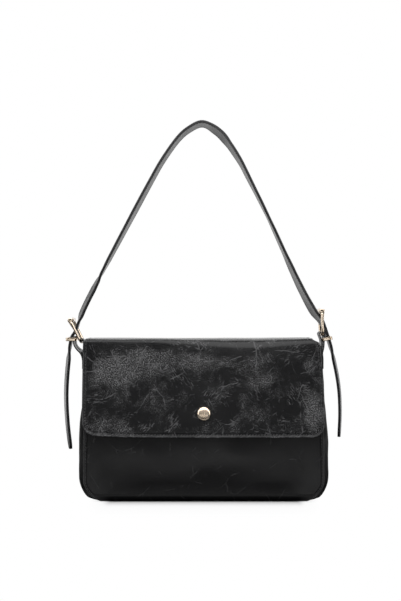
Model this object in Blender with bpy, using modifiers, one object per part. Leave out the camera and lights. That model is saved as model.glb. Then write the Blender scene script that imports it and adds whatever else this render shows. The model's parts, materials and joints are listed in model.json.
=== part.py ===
# Small flap shoulder bag whose strap runs through two pin buckles.
# Lengths are in metres, +Z is up and the front faces -Y.
# The origin is on the floor, under the middle of the base.

import math

import bmesh
import bpy
from mathutils import Matrix, Vector

# Leather shell, measured over the leather
body_height = 0.1650
seam_half_width = 0.1300
mouth_inset = 0.0035
mouth_taper_start = 0.060
base_depth = 0.078
mouth_depth = 0.044
corner_lift = 0.022
corner_inset = 0.019
corner_curve_share = 1.9
edge_roll = 0.007
gusset_bulge = 0.0076
gusset_foot_inset = 0.0080
bulge_end_drop = 0.0050
front_crown = 0.0015

# Sheet thicknesses and the gap that separate pieces keep
leather = 0.0016
flap_leather = 0.0013
flap_backing = 0.0009
strap_leather = 0.0015
tab_leather = 0.0014
base_leather = 0.0020
board_thickness = 0.0012
fabric = 0.0006
seam_gap = 0.0003
weld_distance = 0.00001

# Lining and its pocket
lining_inset = 0.0017
lining_foot_inset = 0.0030
lining_rim_drop = 0.0030
pocket_half_width = 0.062
pocket_drop = 0.030
pocket_depth = 0.077

# Flap
flap_top_rise = 0.0090
flap_fold_radius = 0.0110
flap_back_radius = 0.0090
flap_drop = 0.1050
flap_corner_radius = 0.0140
flap_overlap = 0.0
flap_fold_inset = 0.0040
flap_widening = 0.0350
yoke_drop = 0.0380
fold_clearance = 0.0029
lift_clearance = 0.0010
backing_inset = 0.0010

# Snap
snap_rise = 0.0250
snap_gap = 0.0030
snap_post_radius = 0.0015
snap_hole_gap = 0.0004
cap_radius = 0.00725
cap_rise = 0.0029
cap_rim = 0.0008
socket_wall = 0.0016
socket_play = 0.0006
socket_ceiling = 0.0004
stud_base_radius = 0.0045
stud_base_height = 0.0006
stud_neck_radius = 0.0026
stud_head_radius = 0.0030
stud_head_start = 0.0010
washer_radius = 0.0050
washer_height = 0.0008

# Buckles: each heel bar stands outside the flap and above the mouth
heel_outset = {"left": 0.0093, "right": 0.0046}
heel_rise = {"left": 0.0062, "right": 0.0138}
frame_tilts = {"left": math.radians(25.6), "right": math.radians(-2.5)}
frame_length = 0.0255
frame_side_gap = 0.0007
frame_wire = 0.0015
frame_corner = 0.0035
front_bar_radius = 0.0028
tongue_radius = 0.0010
tongue_eye_radius = 0.0027
tongue_eye_width = 0.0024
tongue_overhang = 0.0015

# Strap
strap_half_width = 0.0105
strap_spacing = 0.0075
strap_tip_round = 0.0080
strap_rise = 0.2470
apex_shift = -0.0019
crossing_share = 0.55
tail_length = {"left": 0.1212, "right": 0.1085}
tail_drift = {"left": 0.0010, "right": 0.0122}
tail_bow = {"left": 0.0052, "right": 0.0058}
leg_shares = {
    "left": ((0.055, 0.095), (0.175, 0.241), (0.425, 0.533), (0.594, 0.727),
             (0.687, 0.825), (0.799, 0.922), (0.888, 0.971)),
    "right": ((0.072, 0.058), (0.204, 0.210), (0.433, 0.514), (0.599, 0.716),
              (0.688, 0.818), (0.798, 0.919), (0.886, 0.970)),
}
slot_side_gap = 0.0005
slot_length = 0.0170
slot_drop = 0.0015
hole_radius = 0.0014
hole_spacing = 0.0200
hole_count = 3

# Keepers, placed from the heel bars
keeper_outset = {"left": 0.0100, "right": 0.00495}
keeper_lift = {"left": 0.0020, "right": -0.0050}
keeper_tilts = {"left": 0.0, "right": math.radians(-12)}
keeper_side_gap = 0.0005
keeper_height = 0.0036
keeper_wall = 0.0012
keeper_slack = 0.0045
keeper_tab_gap = 0.0009
keeper_strap_gap = {"left": 0.00145, "right": 0.0006}

# Tabs
tab_side_gap = 0.0002
tab_spacing = 0.0012
tab_ply_gap = 0.0008
tab_foot_drop = 0.0250
tab_neck_drop = 0.0090
tab_slot_side_gap = 0.0008
tab_slot_reach = 0.0085
tab_wrap_end = {"left": math.radians(85), "right": 0}

# Depth of the cuts past the pieces they go through
cut_overrun = 0.004

sides = {"left": -1, "right": 1}
lean = math.atan((base_depth - mouth_depth) / 2 / body_height)
flap_stack = snap_gap + flap_backing + seam_gap + flap_leather
flap_top_height = body_height + flap_top_rise
flap_bottom = flap_top_height - flap_drop
snap_height = flap_bottom + snap_rise
flap_half_width = seam_half_width + flap_overlap
flap_fold_half_width = flap_half_width - flap_fold_inset
frame_half_width = strap_half_width + frame_side_gap + frame_wire
keeper_half_width = strap_half_width + keeper_side_gap + keeper_wall
tab_half_width = frame_half_width - frame_corner - tab_side_gap
strap_thickness = 2 * strap_leather + seam_gap
keeper_room = tab_leather + strap_thickness + keeper_slack
keeper_reach = keeper_room + 2 * keeper_wall
tab_in_keeper = (keeper_room - tab_leather) / 2 - keeper_tab_gap
heel_places = {}
keeper_places = {}
strap_at_keeper = {}
for side, sign in sides.items():
    heel_out = flap_fold_half_width + heel_outset[side]
    heel_up = body_height + heel_rise[side]
    keeper_out = heel_out + keeper_outset[side]
    keeper_up = heel_up + keeper_lift[side]
    strap_out = keeper_out + (keeper_room - strap_thickness) / 2 - keeper_strap_gap[side]
    heel_places[side] = (sign * heel_out, heel_up)
    keeper_places[side] = (sign * keeper_out, keeper_up)
    strap_at_keeper[side] = (sign * strap_out, keeper_up)
apex_place = (apex_shift, body_height + strap_rise)

for old in list(bpy.data.objects):
    bpy.data.objects.remove(old, do_unlink=True)

bag = bpy.data.collections.new("shoulder_bag")
cutters = bpy.data.collections.new("cutters")
bpy.context.scene.collection.children.link(bag)
bpy.context.scene.collection.children.link(cutters)


# Materials

def make_material(name, colour, roughness, metallic):
    material = bpy.data.materials.new(name)
    material.use_nodes = True
    shader = material.node_tree.nodes["Principled BSDF"]
    shader.inputs["Base Color"].default_value = (*colour, 1)
    shader.inputs["Roughness"].default_value = roughness
    shader.inputs["Metallic"].default_value = metallic
    return material


black_leather = make_material("black_leather", (0.022, 0.022, 0.023), 0.32, 0)
strap_black = make_material("strap_leather", (0.020, 0.020, 0.021), 0.42, 0)
black_lining = make_material("black_lining", (0.030, 0.030, 0.032), 0.85, 0)
grey_board = make_material("grey_board", (0.250, 0.240, 0.220), 0.90, 0)
pale_gold = make_material("pale_gold", (0.830, 0.680, 0.480), 0.22, 1)


# Mesh helpers

def add_object(name, mesh, material, collection=bag):
    made = bpy.data.objects.new(name, mesh)
    made.data.materials.append(material)
    collection.objects.link(made)
    return made


def sheet(name, across, along, place, thickness, material, offset=-1):
    # A grid bent over place(a, b), then thickened towards its inner side
    bm = bmesh.new()
    columns = len(across) - 1
    rows = len(along) - 1
    bmesh.ops.create_grid(bm, x_segments=columns, y_segments=rows, size=0.5)
    for vert in bm.verts:
        column = round((vert.co.x + 0.5) * columns)
        row = round((vert.co.y + 0.5) * rows)
        vert.co = place(across[column], along[row])
    mesh = bpy.data.meshes.new(name)
    bm.to_mesh(mesh)
    bm.free()
    made = add_object(name, mesh, material)
    wall = made.modifiers.new("thickness", "SOLIDIFY")
    wall.thickness = thickness
    wall.offset = offset
    wall.use_even_offset = True
    return made


def as_cutter(made):
    for holder in list(made.users_collection):
        holder.objects.unlink(made)
    cutters.objects.link(made)
    made.hide_render = True
    made.display_type = "WIRE"
    return made


def cylinder(name, radius, height, matrix, material=pale_gold, segments=24, collection=bag):
    bm = bmesh.new()
    bmesh.ops.create_cone(bm, cap_ends=True, segments=segments, radius1=radius, radius2=radius,
                          depth=height)
    mesh = bpy.data.meshes.new(name)
    bm.to_mesh(mesh)
    bm.free()
    made = add_object(name, mesh, material, collection)
    made.matrix_world = matrix
    return made


def box(name, size, matrix, material=pale_gold, collection=bag):
    bm = bmesh.new()
    bmesh.ops.create_cube(bm, size=1)
    bmesh.ops.scale(bm, vec=size, verts=bm.verts)
    mesh = bpy.data.meshes.new(name)
    bm.to_mesh(mesh)
    bm.free()
    made = add_object(name, mesh, material, collection)
    made.matrix_world = matrix
    return made


def combine(made, other, operation):
    step = made.modifiers.new(other.name, "BOOLEAN")
    step.object = other
    step.operation = operation
    step.solver = "EXACT"


def cut(made, cutter):
    combine(made, as_cutter(cutter), "DIFFERENCE")


def unite(made, other):
    combine(made, as_cutter(other), "UNION")


def spread(start, end, count):
    return [start + (end - start) * step / count for step in range(count + 1)]


def turned(name, profile, matrix, material, steps=24):
    # The profile runs from the top of the axis down its outer side and back to the axis
    bm = bmesh.new()
    points = [bm.verts.new((radius, 0, height)) for radius, height in profile]
    for first, second in zip(points, points[1:]):
        bm.edges.new((first, second))
    mesh = bpy.data.meshes.new(name)
    bm.to_mesh(mesh)
    bm.free()
    made = add_object(name, mesh, material)
    lathe = made.modifiers.new("lathe", "SCREW")
    lathe.steps = steps
    lathe.render_steps = steps
    lathe.use_merge_vertices = True
    lathe.merge_threshold = weld_distance
    made.matrix_world = matrix
    return made


# Shape of the shell

def half_depth(height):
    return base_depth / 2 + (mouth_depth - base_depth) / 2 * height / body_height


def roll_in(height, radius):
    if height >= radius:
        return 0
    return radius - math.sqrt(radius ** 2 - (radius - max(height, 0)) ** 2)


def corner_cut(height, inset):
    if height >= corner_lift:
        return 0
    return inset * (1 - max(height, 0) / corner_lift) ** corner_curve_share


def seam_width(height):
    taper = max(0, (height - mouth_taper_start) / (body_height - mouth_taper_start))
    leaned = seam_half_width - mouth_inset * taper
    return leaned - corner_cut(height, corner_inset)


def middle_width(height):
    # Half width over the gusset's bulge, half way from front to back
    bulge_end = body_height - bulge_end_drop
    fade = min(max((height - mouth_taper_start) / (bulge_end - mouth_taper_start), 0), 1)
    bulge = gusset_bulge * (1 + math.cos(math.pi * fade)) / 2
    return seam_width(max(height, corner_lift)) + bulge - corner_cut(height, gusset_foot_inset)


def gusset_width(across, height):
    return seam_width(height) + (middle_width(height) - seam_width(height)) * (1 - across ** 2)


def crown(across, height):
    return front_crown * (1 - across ** 2) * math.sin(math.pi * height / body_height)


def gusset_half_depth(height):
    inner_roll = roll_in(height - leather, edge_roll - leather)
    return half_depth(height) - leather / math.cos(lean) - inner_roll - seam_gap


roll_heights = [edge_roll * (1 - math.cos(math.pi / 2 * turn)) for turn in spread(0, 1, 4)]
shell_heights = (roll_heights + spread(edge_roll, corner_lift, 3)[1:]
                 + spread(corner_lift, body_height, 6)[1:])
panel_shares = spread(-1, 1, 12)
gusset_shares = spread(-1, 1, 6)


def front_place(across, height):
    depth = half_depth(height) - roll_in(height, edge_roll) + crown(across, height)
    return Vector((across * seam_width(height), -depth, height))


def back_place(across, height):
    depth = half_depth(height) - roll_in(height, edge_roll)
    return Vector((-across * seam_width(height), depth, height))


front_panel = sheet("front_panel", panel_shares, shell_heights, front_place, leather, black_leather)
sheet("back_panel", panel_shares, shell_heights, back_place, leather, black_leather)

for side, sign in sides.items():
    def gusset_place(across, height, sign=sign):
        depth = sign * across * gusset_half_depth(height)
        return Vector((sign * gusset_width(across, height), depth, height))

    sheet("side_gusset_" + side, gusset_shares, shell_heights, gusset_place, leather, black_leather)


def base_place(across, along):
    reach = gusset_width(along, 0) - leather - seam_gap
    return Vector((-across * reach, along * (half_depth(0) - edge_roll - leather / 2), 0))


sheet("base_panel", spread(-1, 1, 8), gusset_shares, base_place, base_leather, black_leather)

board_bottom = base_leather + seam_gap
board_half_width = seam_width(0) - leather - lining_foot_inset
board_half_depth = half_depth(0) - edge_roll - leather
box("base_board", (2 * board_half_width, 2 * board_half_depth, board_thickness),
    Matrix.Translation((0, 0, board_bottom + board_thickness / 2)), grey_board)


# Lining: a fabric inner bag, open at the mouth

lining_bottom = board_bottom + board_thickness + seam_gap
lining_top = body_height - lining_rim_drop


def lining_half_width(height):
    return seam_width(height - lining_foot_inset) - leather - lining_inset


def lining_half_depth(height):
    return gusset_half_depth(height) - lining_inset


def make_lining():
    bm = bmesh.new()
    bmesh.ops.create_cube(bm, size=1)
    bm.faces.ensure_lookup_table()
    mouth = [face for face in bm.faces if face.normal.z > 0.5]
    bmesh.ops.delete(bm, geom=mouth, context="FACES_ONLY")
    bmesh.ops.subdivide_edges(bm, edges=bm.edges, cuts=5, use_grid_fill=True)
    for vert in bm.verts:
        height = lining_bottom + (lining_top - lining_bottom) * (vert.co.z + 0.5)
        vert.co = Vector((vert.co.x * 2 * lining_half_width(height),
                          vert.co.y * 2 * lining_half_depth(height), height))
    mesh = bpy.data.meshes.new("lining")
    bm.to_mesh(mesh)
    bm.free()
    made = add_object("lining", mesh, black_lining)
    wall = made.modifiers.new("thickness", "SOLIDIFY")
    wall.thickness = fabric
    wall.offset = -1
    wall.use_even_offset = True


make_lining()


def pocket_place(across, height):
    depth = lining_half_depth(height) - fabric - seam_gap
    return Vector((-across * pocket_half_width, depth, height))


pocket_top = lining_top - pocket_drop
sheet("inner_pocket", spread(-1, 1, 2), spread(pocket_top - pocket_depth, pocket_top, 2),
      pocket_place, fabric, black_lining)


# Flap: its section is a back plane, two rounded folds, a level top and a hanging front

front_plane = half_depth(0) + flap_stack / math.cos(lean)
back_plane = half_depth(0) + (seam_gap + flap_leather) / math.cos(lean)
fold_turn = math.pi / 2 - lean


def fold_centre(plane, radius):
    height = flap_top_height - radius
    depth = plane - (radius + math.sin(lean) * height) / math.cos(lean)
    return Vector((depth, height))


front_centre = fold_centre(front_plane, flap_fold_radius)
back_centre = fold_centre(back_plane, flap_back_radius)


def section_point(direction, centre, radius, turn, inset):
    # direction is -1 on the front fold and 1 on the back fold, turn is counted from the top
    normal = Vector((direction * math.sin(turn), math.cos(turn)))
    middle = Vector((direction * centre.x, centre.y))
    return middle + normal * (radius - inset), normal


def drop_point(direction, plane, height, inset):
    normal = Vector((direction * math.cos(lean), math.sin(lean)))
    slope = (base_depth - mouth_depth) / 2 / body_height
    outer = Vector((direction * (plane - slope * height), height))
    return outer - normal * inset, normal


def fold_axis(direction, centre, radius, inset):
    return section_point(direction, centre, radius, fold_turn / 2, inset)[0]


flap_half_stack = (flap_leather + seam_gap + flap_backing) / 2
bend_axis = fold_axis(-1, front_centre, flap_fold_radius, flap_half_stack)
lift_axis = fold_axis(1, back_centre, flap_back_radius, flap_half_stack)


def flap_width(height, edge_inset):
    # Half width of the hanging front, whose lower corners are rounded
    fold_start = flap_top_height - flap_fold_radius
    growth = min(max((fold_start - height) / flap_widening, 0), 1)
    smooth = growth * growth * (3 - 2 * growth)
    width = flap_fold_half_width + (flap_half_width - flap_fold_half_width) * smooth
    rise = height - flap_bottom - edge_inset
    return width - edge_inset - roll_in(rise, flap_corner_radius - edge_inset)


def front_rows(inset, edge_inset):
    rows = []
    for turn in spread(fold_turn / 2, fold_turn, 4):
        point, _ = section_point(-1, front_centre, flap_fold_radius, turn, inset)
        rows.append((point, flap_fold_half_width - edge_inset, 0))
    start = front_centre.y + flap_fold_radius * math.sin(lean)
    lowest = flap_bottom + edge_inset
    corner = flap_corner_radius - edge_inset
    heights = spread(start, lowest + corner, 6)[1:]
    heights += [lowest + corner * (1 - math.sin(math.pi / 2 * turn)) for turn in spread(0, 1, 5)][1:]
    for height in heights:
        point, _ = drop_point(-1, front_plane, height, inset)
        rows.append((point, flap_width(height, edge_inset), height))
    return rows


def flap_sheet(name, rows, thickness, reverse=False):
    shares = spread(-1, 1, 12)

    def place(across, row):
        point, width, height = rows[row]
        swell = crown(across, height) if height else 0
        return Vector((across * width, point.x - swell, point.y))

    order = list(range(len(rows)))
    if reverse:
        order.reverse()
    return sheet(name, shares, order, place, thickness, black_leather)


def top_rows(inset, edge_inset):
    front_stop = fold_turn / 2 - fold_clearance / (flap_fold_radius - flap_half_stack)
    back_stop = fold_turn / 2 - lift_clearance / (flap_back_radius - flap_half_stack)
    rows = []
    for turn in spread(back_stop, 0, 3):
        point, _ = section_point(1, back_centre, flap_back_radius, turn, inset)
        rows.append((point, flap_fold_half_width - edge_inset, 0))
    for turn in spread(0, front_stop, 3):
        point, _ = section_point(-1, front_centre, flap_fold_radius, turn, inset)
        rows.append((point, flap_fold_half_width - edge_inset, 0))
    return rows


def yoke_rows():
    rows = []
    start = back_centre.y + flap_back_radius * math.sin(lean)
    for height in spread(flap_top_height - yoke_drop, start, 2):
        point, _ = drop_point(1, back_plane, height, 0)
        rows.append((point, flap_fold_half_width, 0))
    for turn in spread(fold_turn, fold_turn / 2, 3)[1:]:
        point, _ = section_point(1, back_centre, flap_back_radius, turn, 0)
        rows.append((point, flap_fold_half_width, 0))
    return rows


backing_depth = flap_leather + seam_gap
flap_sheet("flap_yoke", yoke_rows(), flap_leather, reverse=True)
flap_sheet("flap_top", top_rows(0, 0), flap_leather, reverse=True)
flap_sheet("flap_top_lining", top_rows(backing_depth, backing_inset), flap_backing, reverse=True)
flap_front = flap_sheet("flap_front", front_rows(0, 0), flap_leather, reverse=True)
flap_front_lining = flap_sheet("flap_front_lining", front_rows(backing_depth, backing_inset),
                               flap_backing, reverse=True)


# Snap: every piece is turned about one axis that stands square to the front panel

snap_origin = front_place(0, snap_height)
snap_turn = Matrix.Rotation(math.pi / 2 - lean, 4, "X")


def snap_matrix(rise):
    return Matrix.Translation(snap_origin) @ snap_turn @ Matrix.Translation((0, 0, rise))


for pierced in (front_panel, flap_front, flap_front_lining):
    cut(pierced, cylinder("hole_" + pierced.name, snap_post_radius + snap_hole_gap,
                          flap_stack + 2 * cut_overrun, snap_matrix(flap_stack / 2)))

cap_base = flap_stack + seam_gap
stem_end = -(flap_leather + seam_gap + flap_backing) - seam_gap
dome = [(cap_radius * math.sin(math.pi / 2 * turn),
         cap_rim + (cap_rise - cap_rim) * math.cos(math.pi / 2 * turn)) for turn in spread(0, 1, 6)]
turned("snap_cap", dome + [(cap_radius, 0), (snap_post_radius, 0), (snap_post_radius, stem_end),
                           (0, stem_end)], snap_matrix(cap_base), pale_gold)

socket_height = snap_gap - stud_base_height - 3 * seam_gap
socket_foot = snap_gap - seam_gap - socket_height
socket_bore = stud_head_radius + socket_play
socket_radius = socket_bore + socket_wall
turned("snap_socket", [(0, socket_height), (socket_radius, socket_height), (socket_radius, 0),
                       (socket_bore, 0), (socket_bore, socket_height - socket_ceiling),
                       (0, socket_height - socket_ceiling)],
       snap_matrix(socket_foot), pale_gold)

stud_height = snap_gap - socket_ceiling - 3 * seam_gap
stud_bore = snap_post_radius + seam_gap
stud_bore_depth = stud_head_start
turned("snap_stud", [(0, stud_height), (stud_neck_radius, stud_height),
                     (stud_head_radius, (stud_height + stud_head_start) / 2),
                     (stud_neck_radius, stud_head_start), (stud_neck_radius, stud_base_height),
                     (stud_base_radius, stud_base_height), (stud_base_radius, 0), (stud_bore, 0),
                     (stud_bore, stud_bore_depth), (0, stud_bore_depth)],
       snap_matrix(seam_gap), pale_gold)

post_top = leather + seam_gap + stud_bore_depth
turned("snap_post", [(0, post_top), (snap_post_radius, post_top), (snap_post_radius, 0),
                     (washer_radius, 0), (washer_radius, -washer_height), (0, -washer_height)],
       snap_matrix(-leather - seam_gap), pale_gold)


# Buckles: a frame lies in a plane that holds the depth axis and leans with its side

def frame_matrix(side):
    # Local +Z runs from the heel bar to the front bar, local +X points away from the bag
    x, z = heel_places[side]
    sign = sides[side]
    up = Vector((sign * math.sin(frame_tilts[side]), 0, math.cos(frame_tilts[side])))
    out = Vector((sign * math.cos(frame_tilts[side]), 0, -math.sin(frame_tilts[side])))
    depth = up.cross(out)
    turn = Matrix((out, depth, up)).transposed().to_4x4()
    return Matrix.Translation((x, 0, z)) @ turn


def ring_points(half_width, length, corner):
    points = []
    for centre_y, centre_z, start in (
            (half_width - corner, length - corner, 0), (corner - half_width, length - corner, 90),
            (corner - half_width, corner, 180), (half_width - corner, corner, 270)):
        for turn in spread(0, 90, 3):
            angle = math.radians(start + turn)
            points.append(Vector((0, centre_y + corner * math.cos(angle),
                                  centre_z + corner * math.sin(angle))))
    return points


def tube(name, points, radius, matrix, material, closed):
    curve = bpy.data.curves.new(name, "CURVE")
    curve.dimensions = "3D"
    curve.bevel_depth = radius
    curve.bevel_resolution = 2
    curve.use_fill_caps = True
    spline = curve.splines.new("POLY")
    spline.points.add(len(points) - 1)
    for slot, point in zip(spline.points, points):
        slot.co = (*point, 1)
    spline.use_cyclic_u = closed
    guide = bpy.data.objects.new(name + "_curve", curve)
    bag.objects.link(guide)
    guide.matrix_world = matrix
    bpy.context.view_layer.update()
    evaluated = guide.evaluated_get(bpy.context.evaluated_depsgraph_get())
    mesh = bpy.data.meshes.new_from_object(evaluated)
    bm = bmesh.new()
    bm.from_mesh(mesh)
    bmesh.ops.remove_doubles(bm, verts=bm.verts, dist=weld_distance)
    bmesh.ops.recalc_face_normals(bm, faces=bm.faces)
    bm.to_mesh(mesh)
    bm.free()
    bpy.data.objects.remove(guide, do_unlink=True)
    mesh.materials.clear()
    made = add_object(name, mesh, material)
    made.matrix_world = matrix
    return made


across_turn = Matrix.Rotation(math.pi / 2, 4, "X")
front_bar_half = frame_half_width + frame_wire - seam_gap
tongue_rise = front_bar_radius + tongue_radius + seam_gap
tongue_foot = (tongue_eye_radius + frame_wire + seam_gap) / 2
tongue_reach = frame_length + tongue_overhang


def make_frame(side):
    matrix = frame_matrix(side)
    ring = tube("buckle_frame_" + side, ring_points(frame_half_width, frame_length, frame_corner),
                frame_wire, matrix, pale_gold, True)
    bar = cylinder("front_bar_" + side, front_bar_radius, 2 * front_bar_half,
                   matrix @ Matrix.Translation((0, 0, frame_length)) @ across_turn, segments=16)
    unite(ring, bar)


def make_tongue(side):
    matrix = frame_matrix(side)
    eye = cylinder("buckle_tongue_" + side, tongue_eye_radius, tongue_eye_width,
                   matrix @ across_turn, segments=20)
    foot = Vector((0, 0, tongue_foot))
    tip = Vector((tongue_rise, 0, tongue_reach))
    pin = tube("pin_" + side, [foot, foot.lerp(tip, crossing_share), tip], tongue_radius, matrix,
               pale_gold, False)
    unite(eye, pin)
    cut(eye, cylinder("eye_bore_" + side, frame_wire + seam_gap, tongue_eye_width + 2 * cut_overrun,
                      matrix @ across_turn, segments=20))


def make_keeper(side):
    x, z = keeper_places[side]
    turn = Matrix.Rotation(sides[side] * keeper_tilts[side], 4, "Y")
    matrix = Matrix.Translation((x, 0, z)) @ turn
    band = box("keeper_" + side, (keeper_reach, 2 * keeper_half_width, keeper_height), matrix)
    hole = (keeper_reach - 2 * keeper_wall, 2 * (keeper_half_width - keeper_wall),
            keeper_height + 2 * cut_overrun)
    cut(band, box("keeper_hole_" + side, hole, matrix))


for side in sides:
    make_frame(side)
    make_tongue(side)
    make_keeper(side)


# Strap: one route from tail tip to tail tip, in the plane of the buckles

def smooth_curve(points):
    # Catmull-Rom curve through the points
    ends = [points[0] * 2 - points[1], *points, points[-1] * 2 - points[-2]]
    dense = []
    for p0, p1, p2, p3 in zip(ends, ends[1:], ends[2:], ends[3:]):
        for t in spread(0, 1, 16)[:-1]:
            dense.append(0.5 * (2 * p1 + (p2 - p0) * t + (2 * p0 - 5 * p1 + 4 * p2 - p3) * t ** 2
                                + (3 * p1 - p0 - 3 * p2 + p3) * t ** 3))
    dense.append(points[-1].copy())
    return dense


def rounded_curve(points, passes=4):
    # Each pass cuts every corner at a quarter and three quarters of its sides
    for _ in range(passes):
        cut_points = [points[0]]
        for first, second in zip(points, points[1:]):
            cut_points += [first.lerp(second, 0.25), first.lerp(second, 0.75)]
        points = cut_points + [points[-1]]
    return points


def even_route(dense, spacing):
    reach = [0]
    for first, second in zip(dense, dense[1:]):
        reach.append(reach[-1] + (second - first).length)
    count = max(round(reach[-1] / spacing), 2)
    route = []
    index = 0
    for wanted in spread(0, reach[-1], count):
        while index < len(dense) - 2 and reach[index + 1] < wanted:
            index += 1
        span = reach[index + 1] - reach[index]
        route.append(dense[index].lerp(dense[index + 1], (wanted - reach[index]) / span))
    return route


def crossing(side):
    place = frame_matrix(side) @ Vector((0, 0, crossing_share * frame_length))
    return Vector((place.x, place.z))


def tail_points(side):
    start = Vector(strap_at_keeper[side])
    sign = sides[side]
    points = []
    for share in spread(1, 0, 4):
        out = tail_drift[side] * share + tail_bow[side] * math.sin(math.pi * share)
        points.append(start + Vector((sign * out, -tail_length[side] * share)))
    return points


def leg_points(side):
    foot = crossing(side)
    apex = Vector(apex_place)
    points = [foot]
    for across, up in leg_shares[side]:
        points.append(Vector((foot.x + (apex.x - foot.x) * across, foot.y + (apex.y - foot.y) * up)))
    return points


def strap_control_points():
    left = tail_points("left") + leg_points("left")
    right = tail_points("right") + leg_points("right")
    return left + [Vector(apex_place)] + right[::-1]


strap_route = even_route(smooth_curve(strap_control_points()), strap_spacing)


def route_normals(route):
    normals = []
    for index in range(len(route)):
        ahead = route[min(index + 1, len(route) - 1)]
        behind = route[max(index - 1, 0)]
        along = (ahead - behind).normalized()
        normals.append(Vector((-along.y, along.x)))
    return normals


def ribbon(name, route, half_width, shift, thickness, material, tip_round):
    # shift moves the ribbon off its route, towards the outer side when positive
    normals = route_normals(route)
    reach = [0]
    for first, second in zip(route, route[1:]):
        reach.append(reach[-1] + (second - first).length)

    def width_at(distance):
        from_end = min(distance, reach[-1] - distance)
        if from_end >= tip_round:
            return half_width
        narrowing = 1 - from_end / tip_round
        return half_width * (1 - narrowing ** 2 / 2)

    def place(across, row):
        point = route[row] + normals[row] * shift
        return Vector((point.x, -across * width_at(reach[row]), point.y))

    return sheet(name, (-1, 1), range(len(route)), place, thickness, material)


strap_outer = ribbon("strap_outer", strap_route, strap_half_width, seam_gap / 2 + strap_leather,
                     strap_leather, strap_black, strap_tip_round)
strap_inner = ribbon("strap_inner", strap_route, strap_half_width, -seam_gap / 2,
                     strap_leather, strap_black, strap_tip_round)


def cut_strap_slot(side):
    # A slot where the buckle's pin goes through both plies
    height = crossing_share * frame_length
    rise = tongue_rise * (height - tongue_foot) / (tongue_reach - tongue_foot)
    place = frame_matrix(side) @ Matrix.Translation((rise, 0, height - slot_drop))
    size = (slot_length, tongue_eye_width + 2 * slot_side_gap, slot_length)
    for ply in (strap_outer, strap_inner):
        cut(ply, box("slot_" + side + "_" + ply.name, size, place))


def cut_tail_holes(side):
    # Spare holes down the tail
    start = Vector(strap_at_keeper[side])
    for number in range(1, hole_count + 1):
        drop = number * hole_spacing
        share = drop / tail_length[side]
        out = tail_drift[side] * share + tail_bow[side] * math.sin(math.pi * share)
        centre = Vector((start.x + sides[side] * out, 0, start.y - drop))
        matrix = Matrix.Translation(centre) @ Matrix.Rotation(math.pi / 2, 4, "Y")
        for ply in (strap_outer, strap_inner):
            name = "hole_" + side + "_" + str(number) + "_" + ply.name
            cut(ply, cylinder(name, hole_radius, 2 * cut_overrun, matrix, segments=12))


for side in sides:
    cut_strap_slot(side)
    cut_tail_holes(side)


# Tabs: a strip that comes up the gusset, turns over the heel bar and goes back down

def tab_route(side):
    sign = sides[side]
    heel_x, heel_z = heel_places[side]
    wrap = frame_wire + seam_gap + tab_leather / 2
    clear = seam_gap + tab_leather / 2
    tab_foot = body_height - tab_foot_drop
    tab_neck = body_height - tab_neck_drop
    foot_x = max(gusset_width(0, tab_foot), gusset_width(0, tab_neck)) + clear
    outer_x = foot_x + tab_leather + tab_ply_gap
    keeper_x, keeper_z = keeper_places[side]
    ply_x = abs(keeper_x) - tab_in_keeper
    heel = abs(heel_x)
    points = [Vector((foot_x, tab_foot)), Vector((foot_x, tab_neck))]
    for angle in spread(math.pi, tab_wrap_end[side], 5):
        points.append(Vector((heel + wrap * math.cos(angle), heel_z + wrap * math.sin(angle))))
    keeper_rim = keeper_z + keeper_height / 2
    if heel_z + wrap < keeper_rim + clear:
        # The ply climbs over the keeper's inner wall
        wall_x = abs(keeper_x) - (keeper_reach - keeper_wall) / 2
        points.append(Vector((wall_x, keeper_rim + clear + seam_gap)))
    points += [Vector((ply_x, keeper_rim)), Vector((ply_x, keeper_z - keeper_height)),
               Vector((outer_x, tab_neck)), Vector((outer_x, tab_foot))]
    return [Vector((sign * point.x, point.y)) for point in points]


for side, sign in sides.items():
    route = even_route(rounded_curve(tab_route(side)), tab_spacing)
    tab = ribbon("tab_" + side, route, tab_half_width, tab_leather / 2, tab_leather,
                 strap_black, seam_gap)
    opening = 2 * tab_slot_reach
    opening_width = tongue_eye_width + 2 * tab_slot_side_gap
    cut(tab, box("tab_slot_" + side, (opening, opening_width, opening), frame_matrix(side)))
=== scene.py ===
import json
from math import atan, copysign, cos, exp, hypot, pi, radians, sin, sqrt, tan

import bpy
import numpy as np
from mathutils import Matrix, Vector, noise

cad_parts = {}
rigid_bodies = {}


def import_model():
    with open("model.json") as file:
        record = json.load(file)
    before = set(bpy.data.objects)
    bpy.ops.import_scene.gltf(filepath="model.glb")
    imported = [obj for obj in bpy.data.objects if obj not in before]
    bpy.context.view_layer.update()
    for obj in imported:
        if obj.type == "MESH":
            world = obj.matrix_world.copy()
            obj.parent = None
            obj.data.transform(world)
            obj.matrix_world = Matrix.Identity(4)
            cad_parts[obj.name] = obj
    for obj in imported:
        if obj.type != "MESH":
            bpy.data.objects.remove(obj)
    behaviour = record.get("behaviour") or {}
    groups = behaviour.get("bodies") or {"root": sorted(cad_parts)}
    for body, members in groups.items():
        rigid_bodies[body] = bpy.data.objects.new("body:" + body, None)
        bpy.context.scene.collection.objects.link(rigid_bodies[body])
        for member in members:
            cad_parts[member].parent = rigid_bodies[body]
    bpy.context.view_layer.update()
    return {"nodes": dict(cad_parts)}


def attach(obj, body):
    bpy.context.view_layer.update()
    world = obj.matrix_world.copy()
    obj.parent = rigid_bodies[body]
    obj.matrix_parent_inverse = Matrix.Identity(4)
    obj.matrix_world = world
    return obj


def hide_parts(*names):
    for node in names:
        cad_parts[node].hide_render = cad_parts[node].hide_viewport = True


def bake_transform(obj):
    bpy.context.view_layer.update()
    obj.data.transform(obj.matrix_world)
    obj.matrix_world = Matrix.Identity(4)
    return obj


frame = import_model()
cadNodes = frame["nodes"]
print("frame loaded,", len(cadNodes), "nodes")


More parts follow.
